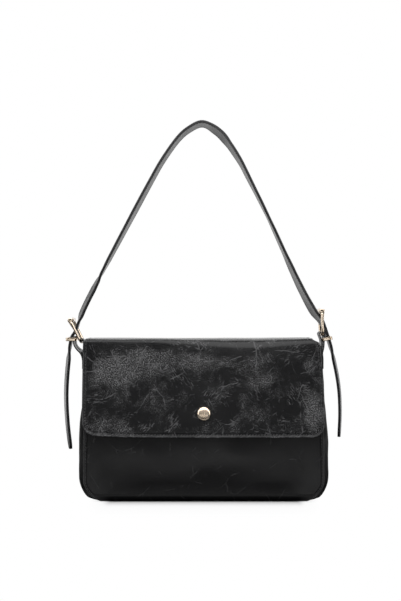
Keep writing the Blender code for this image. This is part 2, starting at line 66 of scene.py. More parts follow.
# ---- node helpers: addNode makes one node and wires or fills its inputs

def addNode(tree, kind, inputs=None, **settings):
    node = tree.nodes.new(kind)
    for key, value in settings.items():
        setattr(node, key, value)
    for key, value in (inputs or {}).items():
        if isinstance(value, bpy.types.NodeSocket):
            tree.links.new(value, node.inputs[key])
        else:
            node.inputs[key].default_value = value
    return node


def mathNode(tree, operation, first, second=0.0, third=0.0):
    node = addNode(tree, "ShaderNodeMath", {0: first, 1: second, 2: third}, operation=operation)
    return node.outputs[0]


def rangeNode(tree, value, low, high, toLow=0.0, toHigh=1.0):
    node = addNode(tree, "ShaderNodeMapRange", {0: value, 1: low, 2: high, 3: toLow, 4: toHigh},
                   interpolation_type="SMOOTHSTEP")
    return node.outputs[0]


def mixColour(tree, share, first, second):
    node = addNode(tree, "ShaderNodeMix", {0: share, 6: first, 7: second}, data_type="RGBA")
    return node.outputs[2]


def newGroup(name, inputs, outputs):
    group = bpy.data.node_groups.new(name, "ShaderNodeTree")
    for label, kind, value in inputs:
        socket = group.interface.new_socket(label, in_out="INPUT", socket_type=kind)
        if value is not None:
            socket.default_value = value
    for label in outputs:
        group.interface.new_socket(label, in_out="OUTPUT", socket_type="NodeSocketFloat")
    return group, group.nodes.new("NodeGroupInput").outputs, group.nodes.new("NodeGroupOutput")


def noiseNode(tree, vector, scale, detail=3.0, roughness=0.5):
    node = addNode(tree, "ShaderNodeTexNoise", {"Vector": vector, "Scale": scale,
                                                "Detail": detail, "Roughness": roughness})
    return node.outputs["Fac"]


def mixValue(tree, share, first, second):
    return addNode(tree, "ShaderNodeMix", {0: share, 2: first, 3: second}).outputs[0]


def addBump(tree, shader, height, strength, depth):
    bump = addNode(tree, "ShaderNodeBump",
                   {"Height": height, "Strength": strength, "Distance": depth})
    tree.links.new(bump.outputs[0], shader.inputs["Normal"])


def vectorNode(tree, operation, *inputs):
    node = addNode(tree, "ShaderNodeVectorMath", dict(enumerate(inputs)), operation=operation)
    return node.outputs["Value" if operation == "LENGTH" else 0]


def wanderNode(tree, vector, scale, reach):
    # Shifts a pattern's coordinates about, so that its lines run crooked
    wander = addNode(tree, "ShaderNodeTexNoise", {"Vector": vector, "Scale": scale, "Detail": 2.0})
    centred = vectorNode(tree, "SUBTRACT", wander.outputs["Color"], (0.5, 0.5, 0.5))
    return vectorNode(tree, "MULTIPLY_ADD", centred, (reach, reach, reach), vector)


def stretchNode(tree, vector, turn, along):
    turned = addNode(tree, "ShaderNodeMapping", {"Vector": vector, "Rotation": (0, 0, turn)})
    stretched = addNode(tree, "ShaderNodeMapping",
                        {"Vector": turned.outputs[0], "Scale": (1.0, along, 1.0)})
    return stretched.outputs[0]


crinkle = {
    "bend": (110.0, 0.0040), "wideBend": (40.0, 0.030), "patches": (0.48, 0.74),
    "patchDetail": (6.0, 0.68), "pebbles": (0.0, 0.30), "grain": (760.0, 2.0, 0.75),
    "glints": (0.51, 0.59), "smudges": (14.0, 5.0, 0.6), "turns": (0.75, -0.60, 1.45),
    "crackStretch": 0.36, "crackWidth": (0.003, 0.017),
    # Stretch, scale, detail and the range that shows
    "breaks": (0.5, 85.0, 2.0, 0.52, 0.66), "hatches": (0.16, 1000.0, 1.0, 0.54, 0.64),
    "scuffs": (0.6, 60.0, 2.0, 0.56, 0.68), "scuffShare": 0.45,
    "patchHeight": 0.70, "flatHeight": 0.30, "grainHeight": 0.35, "crackHeight": -0.7,
}


def buildCrinkleGroup():
    # Fine cells in rubbed patches that also carry painted glints, hairline cracks that run three
    # ways, scuffs and slow smudges
    tree, given, out = newGroup("leatherCrinkle", [
        ("Vector", "NodeSocketVector", None), ("Cells", "NodeSocketFloat", 620.0),
        ("Patches", "NodeSocketFloat", 26.0), ("Cracks", "NodeSocketFloat", 70.0),
        ("Wearglint", "NodeSocketFloat", 0.0)],
        ["Height", "Patch", "Speck", "Crack", "Smudge"])
    bent = wanderNode(tree, given["Vector"], *crinkle["bend"])
    wideBent = wanderNode(tree, given["Vector"], *crinkle["wideBend"])

    def edgeCells(vector, scale):
        return addNode(tree, "ShaderNodeTexVoronoi", {"Vector": vector, "Scale": scale},
                       feature="DISTANCE_TO_EDGE", voronoi_dimensions="2D").outputs["Distance"]

    def streaks(vector, turn, kind):
        stretch, scale, detail, low, high = crinkle[kind]
        drawnOut = noiseNode(tree, stretchNode(tree, vector, turn, stretch), scale, detail)
        return rangeNode(tree, drawnOut, low, high)

    patchNoise = noiseNode(tree, wideBent, given["Patches"], *crinkle["patchDetail"])
    patch = rangeNode(tree, mathNode(tree, "ADD", patchNoise, given["Wearglint"]), *crinkle["patches"])
    pebble = rangeNode(tree, edgeCells(bent, given["Cells"]), *crinkle["pebbles"])
    grain = noiseNode(tree, given["Vector"], *crinkle["grain"])
    # Painted glints: pale specks where the fine grain is high, kept to the patches below
    glint = rangeNode(tree, grain, *crinkle["glints"])

    cracks = scuffs = 0.0
    for turn in crinkle["turns"]:
        edge = edgeCells(stretchNode(tree, bent, turn, crinkle["crackStretch"]), given["Cracks"])
        line = mathNode(tree, "MULTIPLY", rangeNode(tree, edge, *crinkle["crackWidth"], 1.0, 0.0),
                        streaks(wideBent, turn, "breaks"))
        scuff = mathNode(tree, "MULTIPLY", streaks(bent, turn, "hatches"),
                         streaks(wideBent, turn, "scuffs"))
        cracks = mathNode(tree, "MAXIMUM", line, cracks)
        scuffs = mathNode(tree, "MAXIMUM", scuff, scuffs)

    # The painted glints in the patches, together with the pale scuffs
    glintsAndScuffs = mathNode(tree, "MAXIMUM", mathNode(tree, "MULTIPLY", glint, patch),
                     mathNode(tree, "MULTIPLY", scuffs, crinkle["scuffShare"]))
    level = mathNode(tree, "MULTIPLY_ADD", patch, crinkle["patchHeight"], crinkle["flatHeight"])
    height = mathNode(tree, "MULTIPLY", pebble, level)
    height = mathNode(tree, "MULTIPLY_ADD", grain, crinkle["grainHeight"], height)
    height = mathNode(tree, "MULTIPLY_ADD", cracks, crinkle["crackHeight"], height)
    smudge = noiseNode(tree, given["Vector"], *crinkle["smudges"])
    for label, value in (("Height", height), ("Patch", patch), ("Speck", glintsAndScuffs),
                         ("Crack", cracks), ("Smudge", smudge)):
        tree.links.new(value, out.inputs[label])
    return tree


rubbing = {
    "rub": (0.35, 0.70), "hairline": (0.60, 0.70),
    "hairStretch": (3000.0, 500.0, 900.0), "hairTurn": (0.3, 0.5, 0.9),
}


def buildRubGroup():
    # Slow rubbing marks and fine hairlines, for fittings, edges and lining
    tree, given, out = newGroup("rubMarks", [
        ("Vector", "NodeSocketVector", None), ("Size", "NodeSocketFloat", 90.0)],
        ["Rub", "Hairline"])
    slow = noiseNode(tree, given["Vector"], given["Size"], 5.0)
    stretched = addNode(tree, "ShaderNodeMapping",
                        {"Vector": given["Vector"], "Scale": rubbing["hairStretch"],
                         "Rotation": rubbing["hairTurn"]})
    fine = noiseNode(tree, stretched.outputs[0], 1.0, 2.0)
    tree.links.new(rangeNode(tree, slow, *rubbing["rub"]), out.inputs["Rub"])
    tree.links.new(rangeNode(tree, fine, *rubbing["hairline"]), out.inputs["Hairline"])
    return tree


crinkleGroup = buildCrinkleGroup()
rubGroup = buildRubGroup()


def newMaterial(name, pattern="Object"):
    material = bpy.data.materials.new(name)
    material.use_nodes = True
    tree = material.node_tree
    shader = tree.nodes["Principled BSDF"]
    place = addNode(tree, "ShaderNodeTexCoord").outputs[pattern]
    return material, tree, shader, place


def wornAndGlintingPlaces(tree, place, spots):
    # Adds up soft oval spots of crinkle and painted glints: across, up, half width, half height,
    # strength
    total = 0.0
    for across, up, wide, tall, strength in spots:
        moved = addNode(tree, "ShaderNodeMapping",
                        {"Vector": place, "Location": (-across / wide, -up / tall, 0.0),
                         "Scale": (1 / wide, 1 / tall, 0.0)})
        far = vectorNode(tree, "LENGTH", moved.outputs[0])
        near = rangeNode(tree, far, 0.0, 1.4, strength, 0.0)
        total = mathNode(tree, "ADD", near, total)
    return total


def buildLeather(name, look):
    material, tree, shader, place = newMaterial(name, look["pattern"])
    marks = addNode(tree, "ShaderNodeGroup", node_tree=crinkleGroup)
    tree.links.new(place, marks.inputs["Vector"])
    for label in ("Cells", "Patches", "Cracks", "Wearglint"):
        marks.inputs[label].default_value = look[label.lower()]
    # Worn spots set where the crinkle and its painted glints gather
    if look["wornAndGlinting"]:
        tree.links.new(wornAndGlintingPlaces(tree, place, look["wornAndGlinting"]), marks.inputs["Wearglint"])
    patch = marks.outputs["Patch"]
    pale = (*look["pale"], 1)
    colour = mixColour(tree, mathNode(tree, "MULTIPLY", patch, look["patchTint"]),
                       (*look["dark"], 1), (*look["light"], 1))
    # Pale mixed in for the painted glints with the scuffs, then for the cracks
    for label in ("Speck", "Crack"):
        share = mathNode(tree, "MULTIPLY", marks.outputs[label], look[label.lower() + "Tint"])
        colour = mixColour(tree, share, colour, pale)
    if look["edgeHighlightTint"]:
        # A thin painted highlight beside each cut edge, broken up by noise
        edge = addNode(tree, "ShaderNodeAttribute", attribute_name="edgeDistance").outputs["Fac"]
        offset = mathNode(tree, "ABSOLUTE", mathNode(tree, "SUBTRACT", edge, look["rimInset"]))
        rim = rangeNode(tree, offset, *look["rimWidth"], 1.0, 0.0)
        # Noise breaks the painted highlight into pieces
        rub = rangeNode(tree, noiseNode(tree, place, look["rimHighlightBreaks"]), *look["rimHighlightShown"])
        rim = mathNode(tree, "MULTIPLY", mathNode(tree, "MULTIPLY", rim, rub), look["edgeHighlightTint"])
        colour = mixColour(tree, rim, colour, pale)
    tree.links.new(colour, shader.inputs["Base Color"])
    smudge = rangeNode(tree, marks.outputs["Smudge"], *look["smudged"], look["gloss"],
                       look["matt"])
    rough = mathNode(tree, "MULTIPLY_ADD", patch, look["patchMatt"], smudge)
    tree.links.new(rough, shader.inputs["Roughness"])
    shader.inputs["Specular IOR Level"].default_value = look["specular"]
    addBump(tree, shader, marks.outputs["Height"], look["bump"], look["depth"])
    return material


flapLook = {
    "pattern": "UV", "cells": 620.0, "patches": 24.0, "cracks": 34.0,
    "dark": (0.0036, 0.0036, 0.0040), "light": (0.008, 0.008, 0.0085),
    "pale": (0.18, 0.18, 0.185), "patchTint": 0.35, "speckTint": 0.72, "crackTint": 0.30,
    "edgeHighlightTint": 0.30, "rimInset": 0.0011, "rimWidth": (0.0001, 0.0007), "rimHighlightBreaks": 130.0,
    "rimHighlightShown": (0.30, 0.60, 0.25, 1.0), "smudged": (0.35, 0.68), "gloss": 0.17,
    "matt": 0.26, "patchMatt": 0.05, "specular": 0.32, "bump": 0.6, "depth": 0.00022,
    "wearglint": -0.06,
    # Worn spots of the flap, where its painted glints gather too: across, up the front, half width,
    # half height, strength
    "wornAndGlinting": ((-0.098, 0.137, 0.026, 0.015, 0.34), (-0.045, 0.149, 0.062, 0.014, 0.16),
             (0.028, 0.150, 0.030, 0.012, 0.14), (0.116, 0.093, 0.014, 0.026, 0.30),
             (0.108, 0.149, 0.014, 0.016, 0.16), (-0.088, 0.118, 0.014, 0.020, 0.14),
             (-0.105, 0.083, 0.030, 0.012, 0.08), (0.030, 0.078, 0.045, 0.010, 0.08),
             (0.000, 0.171, 0.300, 0.012, -0.40), (0.000, 0.190, 0.300, 0.022, -0.40)),
}
panelLook = dict(flapLook, wornAndGlinting=(), wearglint=-0.2, patchTint=0.0, speckTint=0.03, crackTint=0.05,
                 gloss=0.18, matt=0.22, patchMatt=0.0, bump=0.08, edgeHighlightTint=0.12,
                 dark=(0.0018, 0.0018, 0.0020))
gussetLook = dict(panelLook, specular=0.10, gloss=0.48, matt=0.60, edgeHighlightTint=0.0, bump=0.3)
strapLook = dict(flapLook, wornAndGlinting=(), wearglint=-0.1, cells=900.0, patchTint=0.3, speckTint=0.08,
                 crackTint=0.10, edgeHighlightTint=0.0, gloss=0.24, matt=0.34, patchMatt=0.0, bump=0.3,
                 specular=0.45, dark=(0.005, 0.005, 0.0055))
flapLeather = buildLeather("crinkledFlapLeather", flapLook)
panelLeather = buildLeather("glossyPanelLeather", panelLook)
gussetLeather = buildLeather("satinGussetLeather", gussetLook)
strapLeather = buildLeather("satinStrapLeather", strapLook)


plainDepth = 0.0003


def buildPlain(name, look):
    # Painted edges, thread, suede backing and grey board
    material, tree, shader, place = newMaterial(name)
    rub = addNode(tree, "ShaderNodeGroup", {0: place, 1: look["size"]}, node_tree=rubGroup)
    colour = mixColour(tree, rub.outputs["Rub"], (*look["dark"], 1), (*look["light"], 1))
    tree.links.new(colour, shader.inputs["Base Color"])
    rough = mathNode(tree, "MULTIPLY_ADD", rub.outputs["Rub"], look["spread"], look["rough"])
    tree.links.new(rough, shader.inputs["Roughness"])
    addBump(tree, shader, noiseNode(tree, place, look["grain"]), look["bump"], plainDepth)
    return material


edgePaint = buildPlain("edgePaint", {
    "size": 120.0, "dark": (0.004, 0.004, 0.0045), "light": (0.010, 0.010, 0.011), "rough": 0.34,
    "spread": 0.15, "grain": 900.0, "bump": 0.25})
# Black thread painted lighter, as a painted highlight on the stitches that use it; the dark thread
# below has none
paintedHighlightThread = buildPlain("paintedHighlightThread", {
    "size": 300.0, "dark": (0.020, 0.020, 0.021), "light": (0.055, 0.055, 0.057), "rough": 0.42,
    "spread": 0.1, "grain": 4000.0, "bump": 0.4})
darkThread = buildPlain("darkThread", {
    "size": 300.0, "dark": (0.008, 0.008, 0.009), "light": (0.016, 0.016, 0.017), "rough": 0.5,
    "spread": 0.1, "grain": 4000.0, "bump": 0.3})
suedeBacking = buildPlain("suedeBacking", {
    "size": 60.0, "dark": (0.014, 0.014, 0.015), "light": (0.030, 0.030, 0.031), "rough": 0.8,
    "spread": 0.1, "grain": 2600.0, "bump": 0.6})
greyBoard = buildPlain("greyBoard", {
    "size": 40.0, "dark": (0.20, 0.19, 0.17), "light": (0.29, 0.28, 0.26), "rough": 0.8,
    "spread": 0.1, "grain": 1200.0, "bump": 0.5})


gold = {
    "dark": (0.87, 0.71, 0.54, 1), "light": (0.94, 0.81, 0.66, 1), "size": 160.0,
    "rubSpread": 0.07, "hairSpread": 0.04, "bump": 0.03, "depth": 0.00002,
}
twill = {
    "dark": (0.012, 0.012, 0.013, 1), "light": (0.040, 0.040, 0.043, 1), "size": 35.0,
    "threads": 420.0, "crooked": 0.6, "weaveShare": 0.5, "tint": 0.6, "rough": 0.75,
    "sheen": 0.15, "bump": 0.5, "depth": 0.0002,
}


def buildGold(name, polish):
    material, tree, shader, place = newMaterial(name)
    rub = addNode(tree, "ShaderNodeGroup", {0: place, 1: gold["size"]}, node_tree=rubGroup).outputs
    colour = mixColour(tree, rub["Rub"], gold["dark"], gold["light"])
    tree.links.new(colour, shader.inputs["Base Color"])
    shader.inputs["Metallic"].default_value = 1.0
    rough = mathNode(tree, "MULTIPLY_ADD", rub["Rub"], gold["rubSpread"], polish)
    rough = mathNode(tree, "MULTIPLY_ADD", rub["Hairline"], gold["hairSpread"], rough)
    tree.links.new(rough, shader.inputs["Roughness"])
    addBump(tree, shader, rub["Hairline"], gold["bump"], gold["depth"])
    return material


def buildLiningCloth():
    # A fine twill: two sets of threads that cross, with a faint sheen
    material, tree, shader, place = newMaterial("liningTwill")
    waves = []
    for turn in (0.0, pi / 2):
        turned = addNode(tree, "ShaderNodeMapping",
                         {"Vector": place, "Rotation": (0.0, turn, 0.0)})
        wave = addNode(tree, "ShaderNodeTexWave",
                       {"Vector": turned.outputs[0], "Scale": twill["threads"],
                        "Distortion": twill["crooked"], "Detail": 1.0},
                       bands_direction="DIAGONAL")
        waves.append(wave.outputs["Fac"])
    weave = mathNode(tree, "MAXIMUM", *waves)
    rub = addNode(tree, "ShaderNodeGroup", {0: place, 1: twill["size"]}, node_tree=rubGroup)
    share = mathNode(tree, "MULTIPLY_ADD", weave, twill["weaveShare"], rub.outputs["Rub"])
    colour = mixColour(tree, mathNode(tree, "MULTIPLY", share, twill["tint"]), twill["dark"],
                       twill["light"])
    tree.links.new(colour, shader.inputs["Base Color"])
    shader.inputs["Roughness"].default_value = twill["rough"]
    shader.inputs["Sheen Weight"].default_value = twill["sheen"]
    addBump(tree, shader, weave, twill["bump"], twill["depth"])
    return material


paleGold = buildGold("paleGold", 0.10)
satinGold = buildGold("satinGold", 0.23)
liningTwill = buildLiningCloth()
print("materials ready")


# ---- mesh helpers

def deselectAll():
    for other in bpy.context.scene.objects:
        other.select_set(False)


def makeActive(piece):
    deselectAll()
    piece.select_set(True)
    bpy.context.view_layer.objects.active = piece


def setMode(mode):
    bpy.ops.object.mode_set(mode=mode)


def newPrimitive(add, **settings):
    deselectAll()
    add(**settings)
    return bpy.context.object


def addModifier(piece, kind, **settings):
    step = piece.modifiers.new(kind.lower(), kind)
    for key, value in settings.items():
        setattr(step, key, value)


def addRounding(piece, width, segments, degrees=30):
    addModifier(piece, "BEVEL", width=width, segments=segments, limit_method="ANGLE",
                angle_limit=radians(degrees))


def applyAll(piece):
    makeActive(piece)
    for step in list(piece.modifiers):
        bpy.ops.object.modifier_apply(modifier=step.name)


def editAll(piece, *steps):
    # Each step is an operator and its settings, run on the whole mesh
    makeActive(piece)
    setMode("EDIT")
    for operator, settings in steps:
        bpy.ops.mesh.select_all(action="SELECT")
        operator(**settings)
    setMode("OBJECT")


def turnNormals(piece, inside=False):
    editAll(piece, (bpy.ops.mesh.normals_make_consistent, {"inside": inside}))


def joinInto(piece):
    # Joins what is selected into the piece
    piece.select_set(True)
    bpy.context.view_layer.objects.active = piece
    bpy.ops.object.join()


def addObject(name, data):
    added = bpy.data.objects.new(name, data)
    bpy.context.scene.collection.objects.link(added)
    return added


def newPiece(name, vertices, faces, materials):
    mesh = bpy.data.meshes.new(name)
    mesh.from_pydata([tuple(v) for v in vertices], [], faces)
    for material in materials:
        mesh.materials.append(material)
    return addObject(name, mesh)


def smoothAt(piece, degrees=40):
    makeActive(piece)
    bpy.ops.object.shade_smooth_by_angle(angle=radians(degrees))


def pick(piece, kind, wanted):
    # Selects the faces or edges whose corners pass a test, and stays in edit mode
    makeActive(piece)
    setMode("EDIT")
    bpy.ops.mesh.select_mode(type=kind)
    bpy.ops.mesh.select_all(action="DESELECT")
    setMode("OBJECT")
    for part in piece.data.polygons if kind == "FACE" else piece.data.edges:
        part.select = wanted([piece.data.vertices[corner].co for corner in part.vertices])
    setMode("EDIT")


def mapSheet(piece, places):
    # Lays each vertex at its place on the flat leather
    layer = piece.data.uv_layers.new(name="sheetMap")
    for loop in piece.data.loops:
        layer.data[loop.index].uv = places[loop.vertex_index]


def ringFaces(rings, count):
    # Quads between closed rings of equally many points
    return [(row * count + step, row * count + (step + 1) % count,
             (row + 1) * count + (step + 1) % count, (row + 1) * count + step)
            for row in range(rings - 1) for step in range(count)]


def leatherSheet(name, rows, outward, thickness, materials, rounding=0.00035, edges=None,
                 sheetMap=None):
    # rows is a list of equally long lists of points; materials are face, edge and flesh side
    # edges gives each point's distance from the cut edge, sheetMap its place on the flat leather
    count = len(rows[0])
    faces = [(corner, corner + 1, corner + count + 1, corner + count)
             for row in range(len(rows) - 1)
             for corner in range(row * count, (row + 1) * count - 1)]
    points = [point for row in rows for point in row]
    middle = faces[len(faces) // 2 + count // 2]
    normal = (points[middle[1]] - points[middle[0]]).cross(points[middle[3]] - points[middle[0]])
    if normal.dot(Vector(outward)) < 0:
        faces = [face[::-1] for face in faces]
    piece = newPiece(name, points, faces, materials)
    if edges:
        distances = piece.data.attributes.new("edgeDistance", "FLOAT", "POINT")
        distances.data.foreach_set("value", [value for row in edges for value in row])
    if sheetMap:
        mapSheet(piece, [place for row in sheetMap for place in row])
    addModifier(piece, "SOLIDIFY", thickness=thickness, offset=-1, material_offset=2,
                material_offset_rim=1)
    if rounding:
        addRounding(piece, rounding, 2, 55)
    applyAll(piece)
    smoothAt(piece)
    return piece


def chainReach(points):
    # How far along a chain each of its points is
    reach = [0.0]
    for first, second in zip(points, points[1:]):
        reach.append(reach[-1] + (second - first).length)
    return reach


def evenRoute(points, spacing):
    # Places at even steps along a chain of points
    reach = chainReach(points)
    count = max(round(reach[-1] / spacing), 2)
    route = []
    index = 0
    for step in range(count + 1):
        wanted = reach[-1] * step / count
        while index < len(points) - 2 and reach[index + 1] < wanted:
            index += 1
        span = max(reach[index + 1] - reach[index], 1e-9)
        route.append(points[index].lerp(points[index + 1], (wanted - reach[index]) / span))
    return route


def smoothCurve(points, steps=16):
    ends = [points[0] * 2 - points[1], *points, points[-1] * 2 - points[-2]]
    dense = []
    for p0, p1, p2, p3 in zip(ends, ends[1:], ends[2:], ends[3:]):
        for step in range(steps):
            t = step / steps
            dense.append(0.5 * (2 * p1 + (p2 - p0) * t + (2 * p0 - 5 * p1 + 4 * p2 - p3) * t * t
                                + (3 * p1 - p0 - 3 * p2 + p3) * t ** 3))
    dense.append(points[-1].copy())
    return dense


def roundedCurve(points, passes=4):
    for _ in range(passes):
        cutPoints = [points[0]]
        for first, second in zip(points, points[1:]):
            cutPoints += [first.lerp(second, 0.25), first.lerp(second, 0.75)]
        points = cutPoints + [points[-1]]
    return points


def clamp(value):
    return min(max(value, 0.0), 1.0)


def readTable(table, height):
    # The value at a height, eased between the table's rows
    for (low, first), (high, second) in zip(table, table[1:]):
        if height < high:
            share = clamp((height - low) / (high - low))
            return first + (second - first) * share * share * (3 - 2 * share)
    return table[-1][1]


def spread(start, end, count):
    return [start + (end - start) * step / count for step in range(count + 1)]


def makeStitch():
    # One stitch: a short thread with sunk ends, lying along X
    stitch = newPrimitive(bpy.ops.mesh.primitive_uv_sphere_add, segments=6, ring_count=6,
                          radius=0.5, rotation=(0, pi / 2, 0))
    bpy.ops.object.transform_apply(location=False, rotation=True, scale=False)
    points = np.array([v.co for v in stitch.data.vertices])
    points[:, 0] = np.sign(points[:, 0]) * np.abs(points[:, 0] * 2) ** 0.6 / 2
    faces = [tuple(face.vertices) for face in stitch.data.polygons]
    bpy.data.objects.remove(stitch, do_unlink=True)
    return points, faces


stitchPoints, stitchFaces = makeStitch()


def sewLines(name, lines, thread):
    # Each line is a list of (place, outward normal) pairs that the stitches follow
    vertices = []
    faces = []
    for line in lines:
        chain = [place for place, _ in line]
        places = evenRoute(chain, thread["pitch"])
        reach = chainReach(chain)
        index = 0
        for step in range(len(places) - 1):
            start, end = places[step], places[step + 1]
            wanted = reach[-1] * (step + 0.5) / (len(places) - 1)
            while index < len(line) - 2 and reach[index + 1] < wanted:
                index += 1
            normal = line[index][1].normalized()
            along = (end - start).normalized()
            across = normal.cross(along).normalized()
            normal = along.cross(across)
            slant = Matrix.Rotation(thread["slant"], 3, normal)
            along, across = slant @ along, slant @ across
            size = np.array([(end - start).length * thread["share"], thread["width"],
                             thread["height"]])
            turn = np.array([along, across, normal])
            centre = np.array((start + end) / 2 + normal * thread["lift"])
            base = len(vertices)
            vertices.extend(((stitchPoints * size) @ turn + centre).tolist())
            faces.extend(tuple(base + corner for corner in face) for face in stitchFaces)
    piece = newPiece(name, vertices, faces, [thread["material"]])
    for face in piece.data.polygons:
        face.use_smooth = True
    return piece


finThread = {"pitch": 0.0032, "share": 0.80, "width": 0.00062, "height": 0.00050,
             "lift": 0.00005, "slant": 0.10, "material": paintedHighlightThread}


def finish(piece, body=None, stands=(), blend=None):
    # Rides with its body, or, given a blend, only has its place baked in; hides the packed parts
    # that it stands for
    if blend:
        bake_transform(piece)
    else:
        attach(piece, body)
    if stands:
        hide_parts(*stands)
    return piece


# ---- shell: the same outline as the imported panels, with a drape of its own

shell = {
    "height": 0.1650, "seamHalfWidth": 0.1300, "mouthInset": 0.0035, "taperStart": 0.060,
    "baseDepth": 0.078, "mouthDepth": 0.044, "cornerLift": 0.022, "cornerInset": 0.019,
    "cornerShare": 1.9, "edgeRoll": 0.007, "bulge": 0.0076, "footInset": 0.0080,
    "bulgeEndDrop": 0.0050, "bulgeHold": 1.35, "crown": 0.0015, "leather": 0.0016,
    "seamGap": 0.0003, "stitchInset": 0.0030, "grooveDepth": 0.00035, "grooveWidth": 0.0009,
    "grooveShare": 0.4, "sag": 0.0004, "ease": 0.020, "mouthEase": 0.012,
    "belly": 0.0010, "bellyHeight": 0.045, "bellySpread": 0.030, "backBelly": 0.5,
    "seamStart": 0.008, "seamEnd": 0.004, "bandDent": 0.0012, "bandDentRise": 0.030,
    "bandDentSize": 0.030, "bandSpacing": 0.0021,
}
lean = atan((shell["baseDepth"] - shell["mouthDepth"]) / 2 / shell["height"])


def halfDepth(height):
    return (shell["baseDepth"] + (shell["mouthDepth"] - shell["baseDepth"])
            * height / shell["height"]) / 2


def rollIn(height, radius):
    if height >= radius:
        return 0.0
    return radius - sqrt(max(radius ** 2 - (radius - max(height, 0.0)) ** 2, 0.0))


def cornerCut(height, inset):
    if height >= shell["cornerLift"]:
        return 0.0
    return inset * (1 - max(height, 0.0) / shell["cornerLift"]) ** shell["cornerShare"]


def seamWidth(height):
    taper = max(0.0, (height - shell["taperStart"]) / (shell["height"] - shell["taperStart"]))
    return shell["seamHalfWidth"] - shell["mouthInset"] * taper - cornerCut(
        height, shell["cornerInset"])


def middleWidth(height):
    bulgeEnd = shell["height"] - shell["bulgeEndDrop"]
    fade = clamp((height - shell["taperStart"]) / (bulgeEnd - shell["taperStart"]))
    bulge = shell["bulge"] * (1 + cos(pi * fade ** shell["bulgeHold"])) / 2
    return (seamWidth(max(height, shell["cornerLift"])) + bulge
            - cornerCut(height, shell["footInset"]))


def gussetWidth(across, height):
    return seamWidth(height) + (middleWidth(height) - seamWidth(height)) * (1 - across ** 2)


def gussetHalfDepth(height):
    inner = rollIn(height - shell["leather"], shell["edgeRoll"] - shell["leather"])
    return halfDepth(height) - shell["leather"] / cos(lean) - inner - shell["seamGap"]


def drape(x, y, z, size=0.055):
    # Slow dents of about one unit, the same on every run
    return noise.noise(Vector((x, y, z)) / size) + 0.4 * noise.noise(Vector((z, x, y)) * 2.3 / size)


def groove(distance):
    gap = (distance - shell["stitchInset"]) / shell["grooveWidth"]
    return shell["grooveDepth"] * exp(-gap * gap)


def edgeColumns(halfWidth, fine=0.0008, coarse=0.0024, band=0.0064):
    # Distances from the left edge to the right one, closer together near both edges
    side = spread(0.0, band, round(band / fine))
    inner = spread(band, 2 * halfWidth - band, round((2 * halfWidth - 2 * band) / coarse))
    return side[:-1] + inner + [2 * halfWidth - d for d in side[:-1]][::-1]


def panelPoint(across, height, face):
    # across is a place from -1 to 1, face is -1 for the front and 1 for the back
    width = seamWidth(height)
    x = across * width
    inset = width - abs(x)
    ease = min(inset / shell["ease"], 1.0) * min(height / shell["ease"], 1.0)
    ease *= clamp((shell["height"] - height) / shell["mouthEase"])
    swell = shell["crown"] * (1 - across ** 2) * sin(pi * min(height / shell["height"], 1))
    dent = shell["sag"] * ease * drape(x, face * 0.1, height)
    rise = (height - shell["bellyHeight"]) / shell["bellySpread"]
    belly = shell["belly"] * ease * (1 - across ** 2) * exp(-rise * rise)
    depth = halfDepth(height) - rollIn(height, shell["edgeRoll"])
    depth += swell + belly if face < 0 else belly * shell["backBelly"]
    depth += dent - groove(inset) * shell["grooveShare"]
    return Vector((x, face * depth, height))


rollHeights = [shell["edgeRoll"] * (1 - cos(pi / 2 * turn)) for turn in spread(0, 1, 8)]
panelHeights = rollHeights + spread(shell["edgeRoll"], shell["height"], 68)[1:]
panelShares = [d / shell["seamHalfWidth"] - 1 for d in edgeColumns(shell["seamHalfWidth"])]
panelSkins = [panelLeather, edgePaint, suedeBacking]
gussetSkins = [gussetLeather, edgePaint, suedeBacking]


def buildPanel(name, face, stands):
    rows = [[panelPoint(a, z, face) for a in panelShares] for z in panelHeights]
    edges = [[seamWidth(z) * (1 - abs(a)) for a in panelShares] for z in panelHeights]
    sheetMap = [[(seamWidth(z) * a + face, z) for a in panelShares] for z in panelHeights]
    panel = leatherSheet(name, rows, (0, face, 0), shell["leather"], panelSkins, edges=edges,
                         sheetMap=sheetMap)
    finish(panel, "shell", stands)
    seamHeights = spread(shell["seamStart"], shell["height"] - shell["seamEnd"], 80)
    seams = [[(panelPoint(side * (1 - shell["stitchInset"] / seamWidth(z)), z, face),
               Vector((0, face, 0.1))) for z in seamHeights]
             for side in (-1, 1)]
    stitches = sewLines(name + "Stitches", seams, dict(finThread, material=darkThread))
    finish(stitches, "shell")


buildPanel("frontPanel", -1, ["front_panel"])
buildPanel("backPanel", 1, ["back_panel"])
print("panels sewn")


def bandRoute(across):
    # From the mouth down one side, under the base and up the other side
    heights = spread(shell["height"], shell["cornerLift"], 40)
    heights += spread(shell["cornerLift"], 0.0, 14)[1:]
    side = [Vector((gussetWidth(across, z), 0, z)) for z in heights]
    corner = gussetWidth(across, 0.0)
    base = [Vector((x, 0, 0.0)) for x in spread(corner, -corner, 60)[1:-1]]
    return side + base + [Vector((-point.x, 0, point.z)) for point in side[::-1]]


def buildBand():
    columns = [(across, evenRoute(roundedCurve(bandRoute(across), 2), shell["bandSpacing"]))
               for across in spread(-1, 1, 36)]
    count = min(len(route) for _, route in columns)
    rows = []
    for step in range(count):
        row = []
        for across, route in columns:
            place = route[round(step * (len(route) - 1) / (count - 1))]
            fold = (1 - across ** 2) * min(place.z / shell["bandDentRise"], 1.0)
            dent = shell["bandDent"] * fold * drape(
                place.x, across * shell["bandDentSize"], place.z, shell["bandDentSize"])
            side = 1 if place.x > 0 else -1
            row.append(Vector((place.x + side * dent, across * gussetHalfDepth(place.z), place.z)))
        rows.append(row)
    sheetMap = [[(point.y + 2.0, step * shell["bandSpacing"]) for point in row]
                for step, row in enumerate(rows)]
    band = leatherSheet("gussetBand", rows, (0, 0, -1), shell["leather"], gussetSkins,
                        sheetMap=sheetMap)
    finish(band, "shell",
           ["side_gusset_left", "side_gusset_right", "base_panel"])


buildBand()
print("gusset band sewn")


# ---- flap: yoke, level top and hanging front are one leather, drawn in two halves

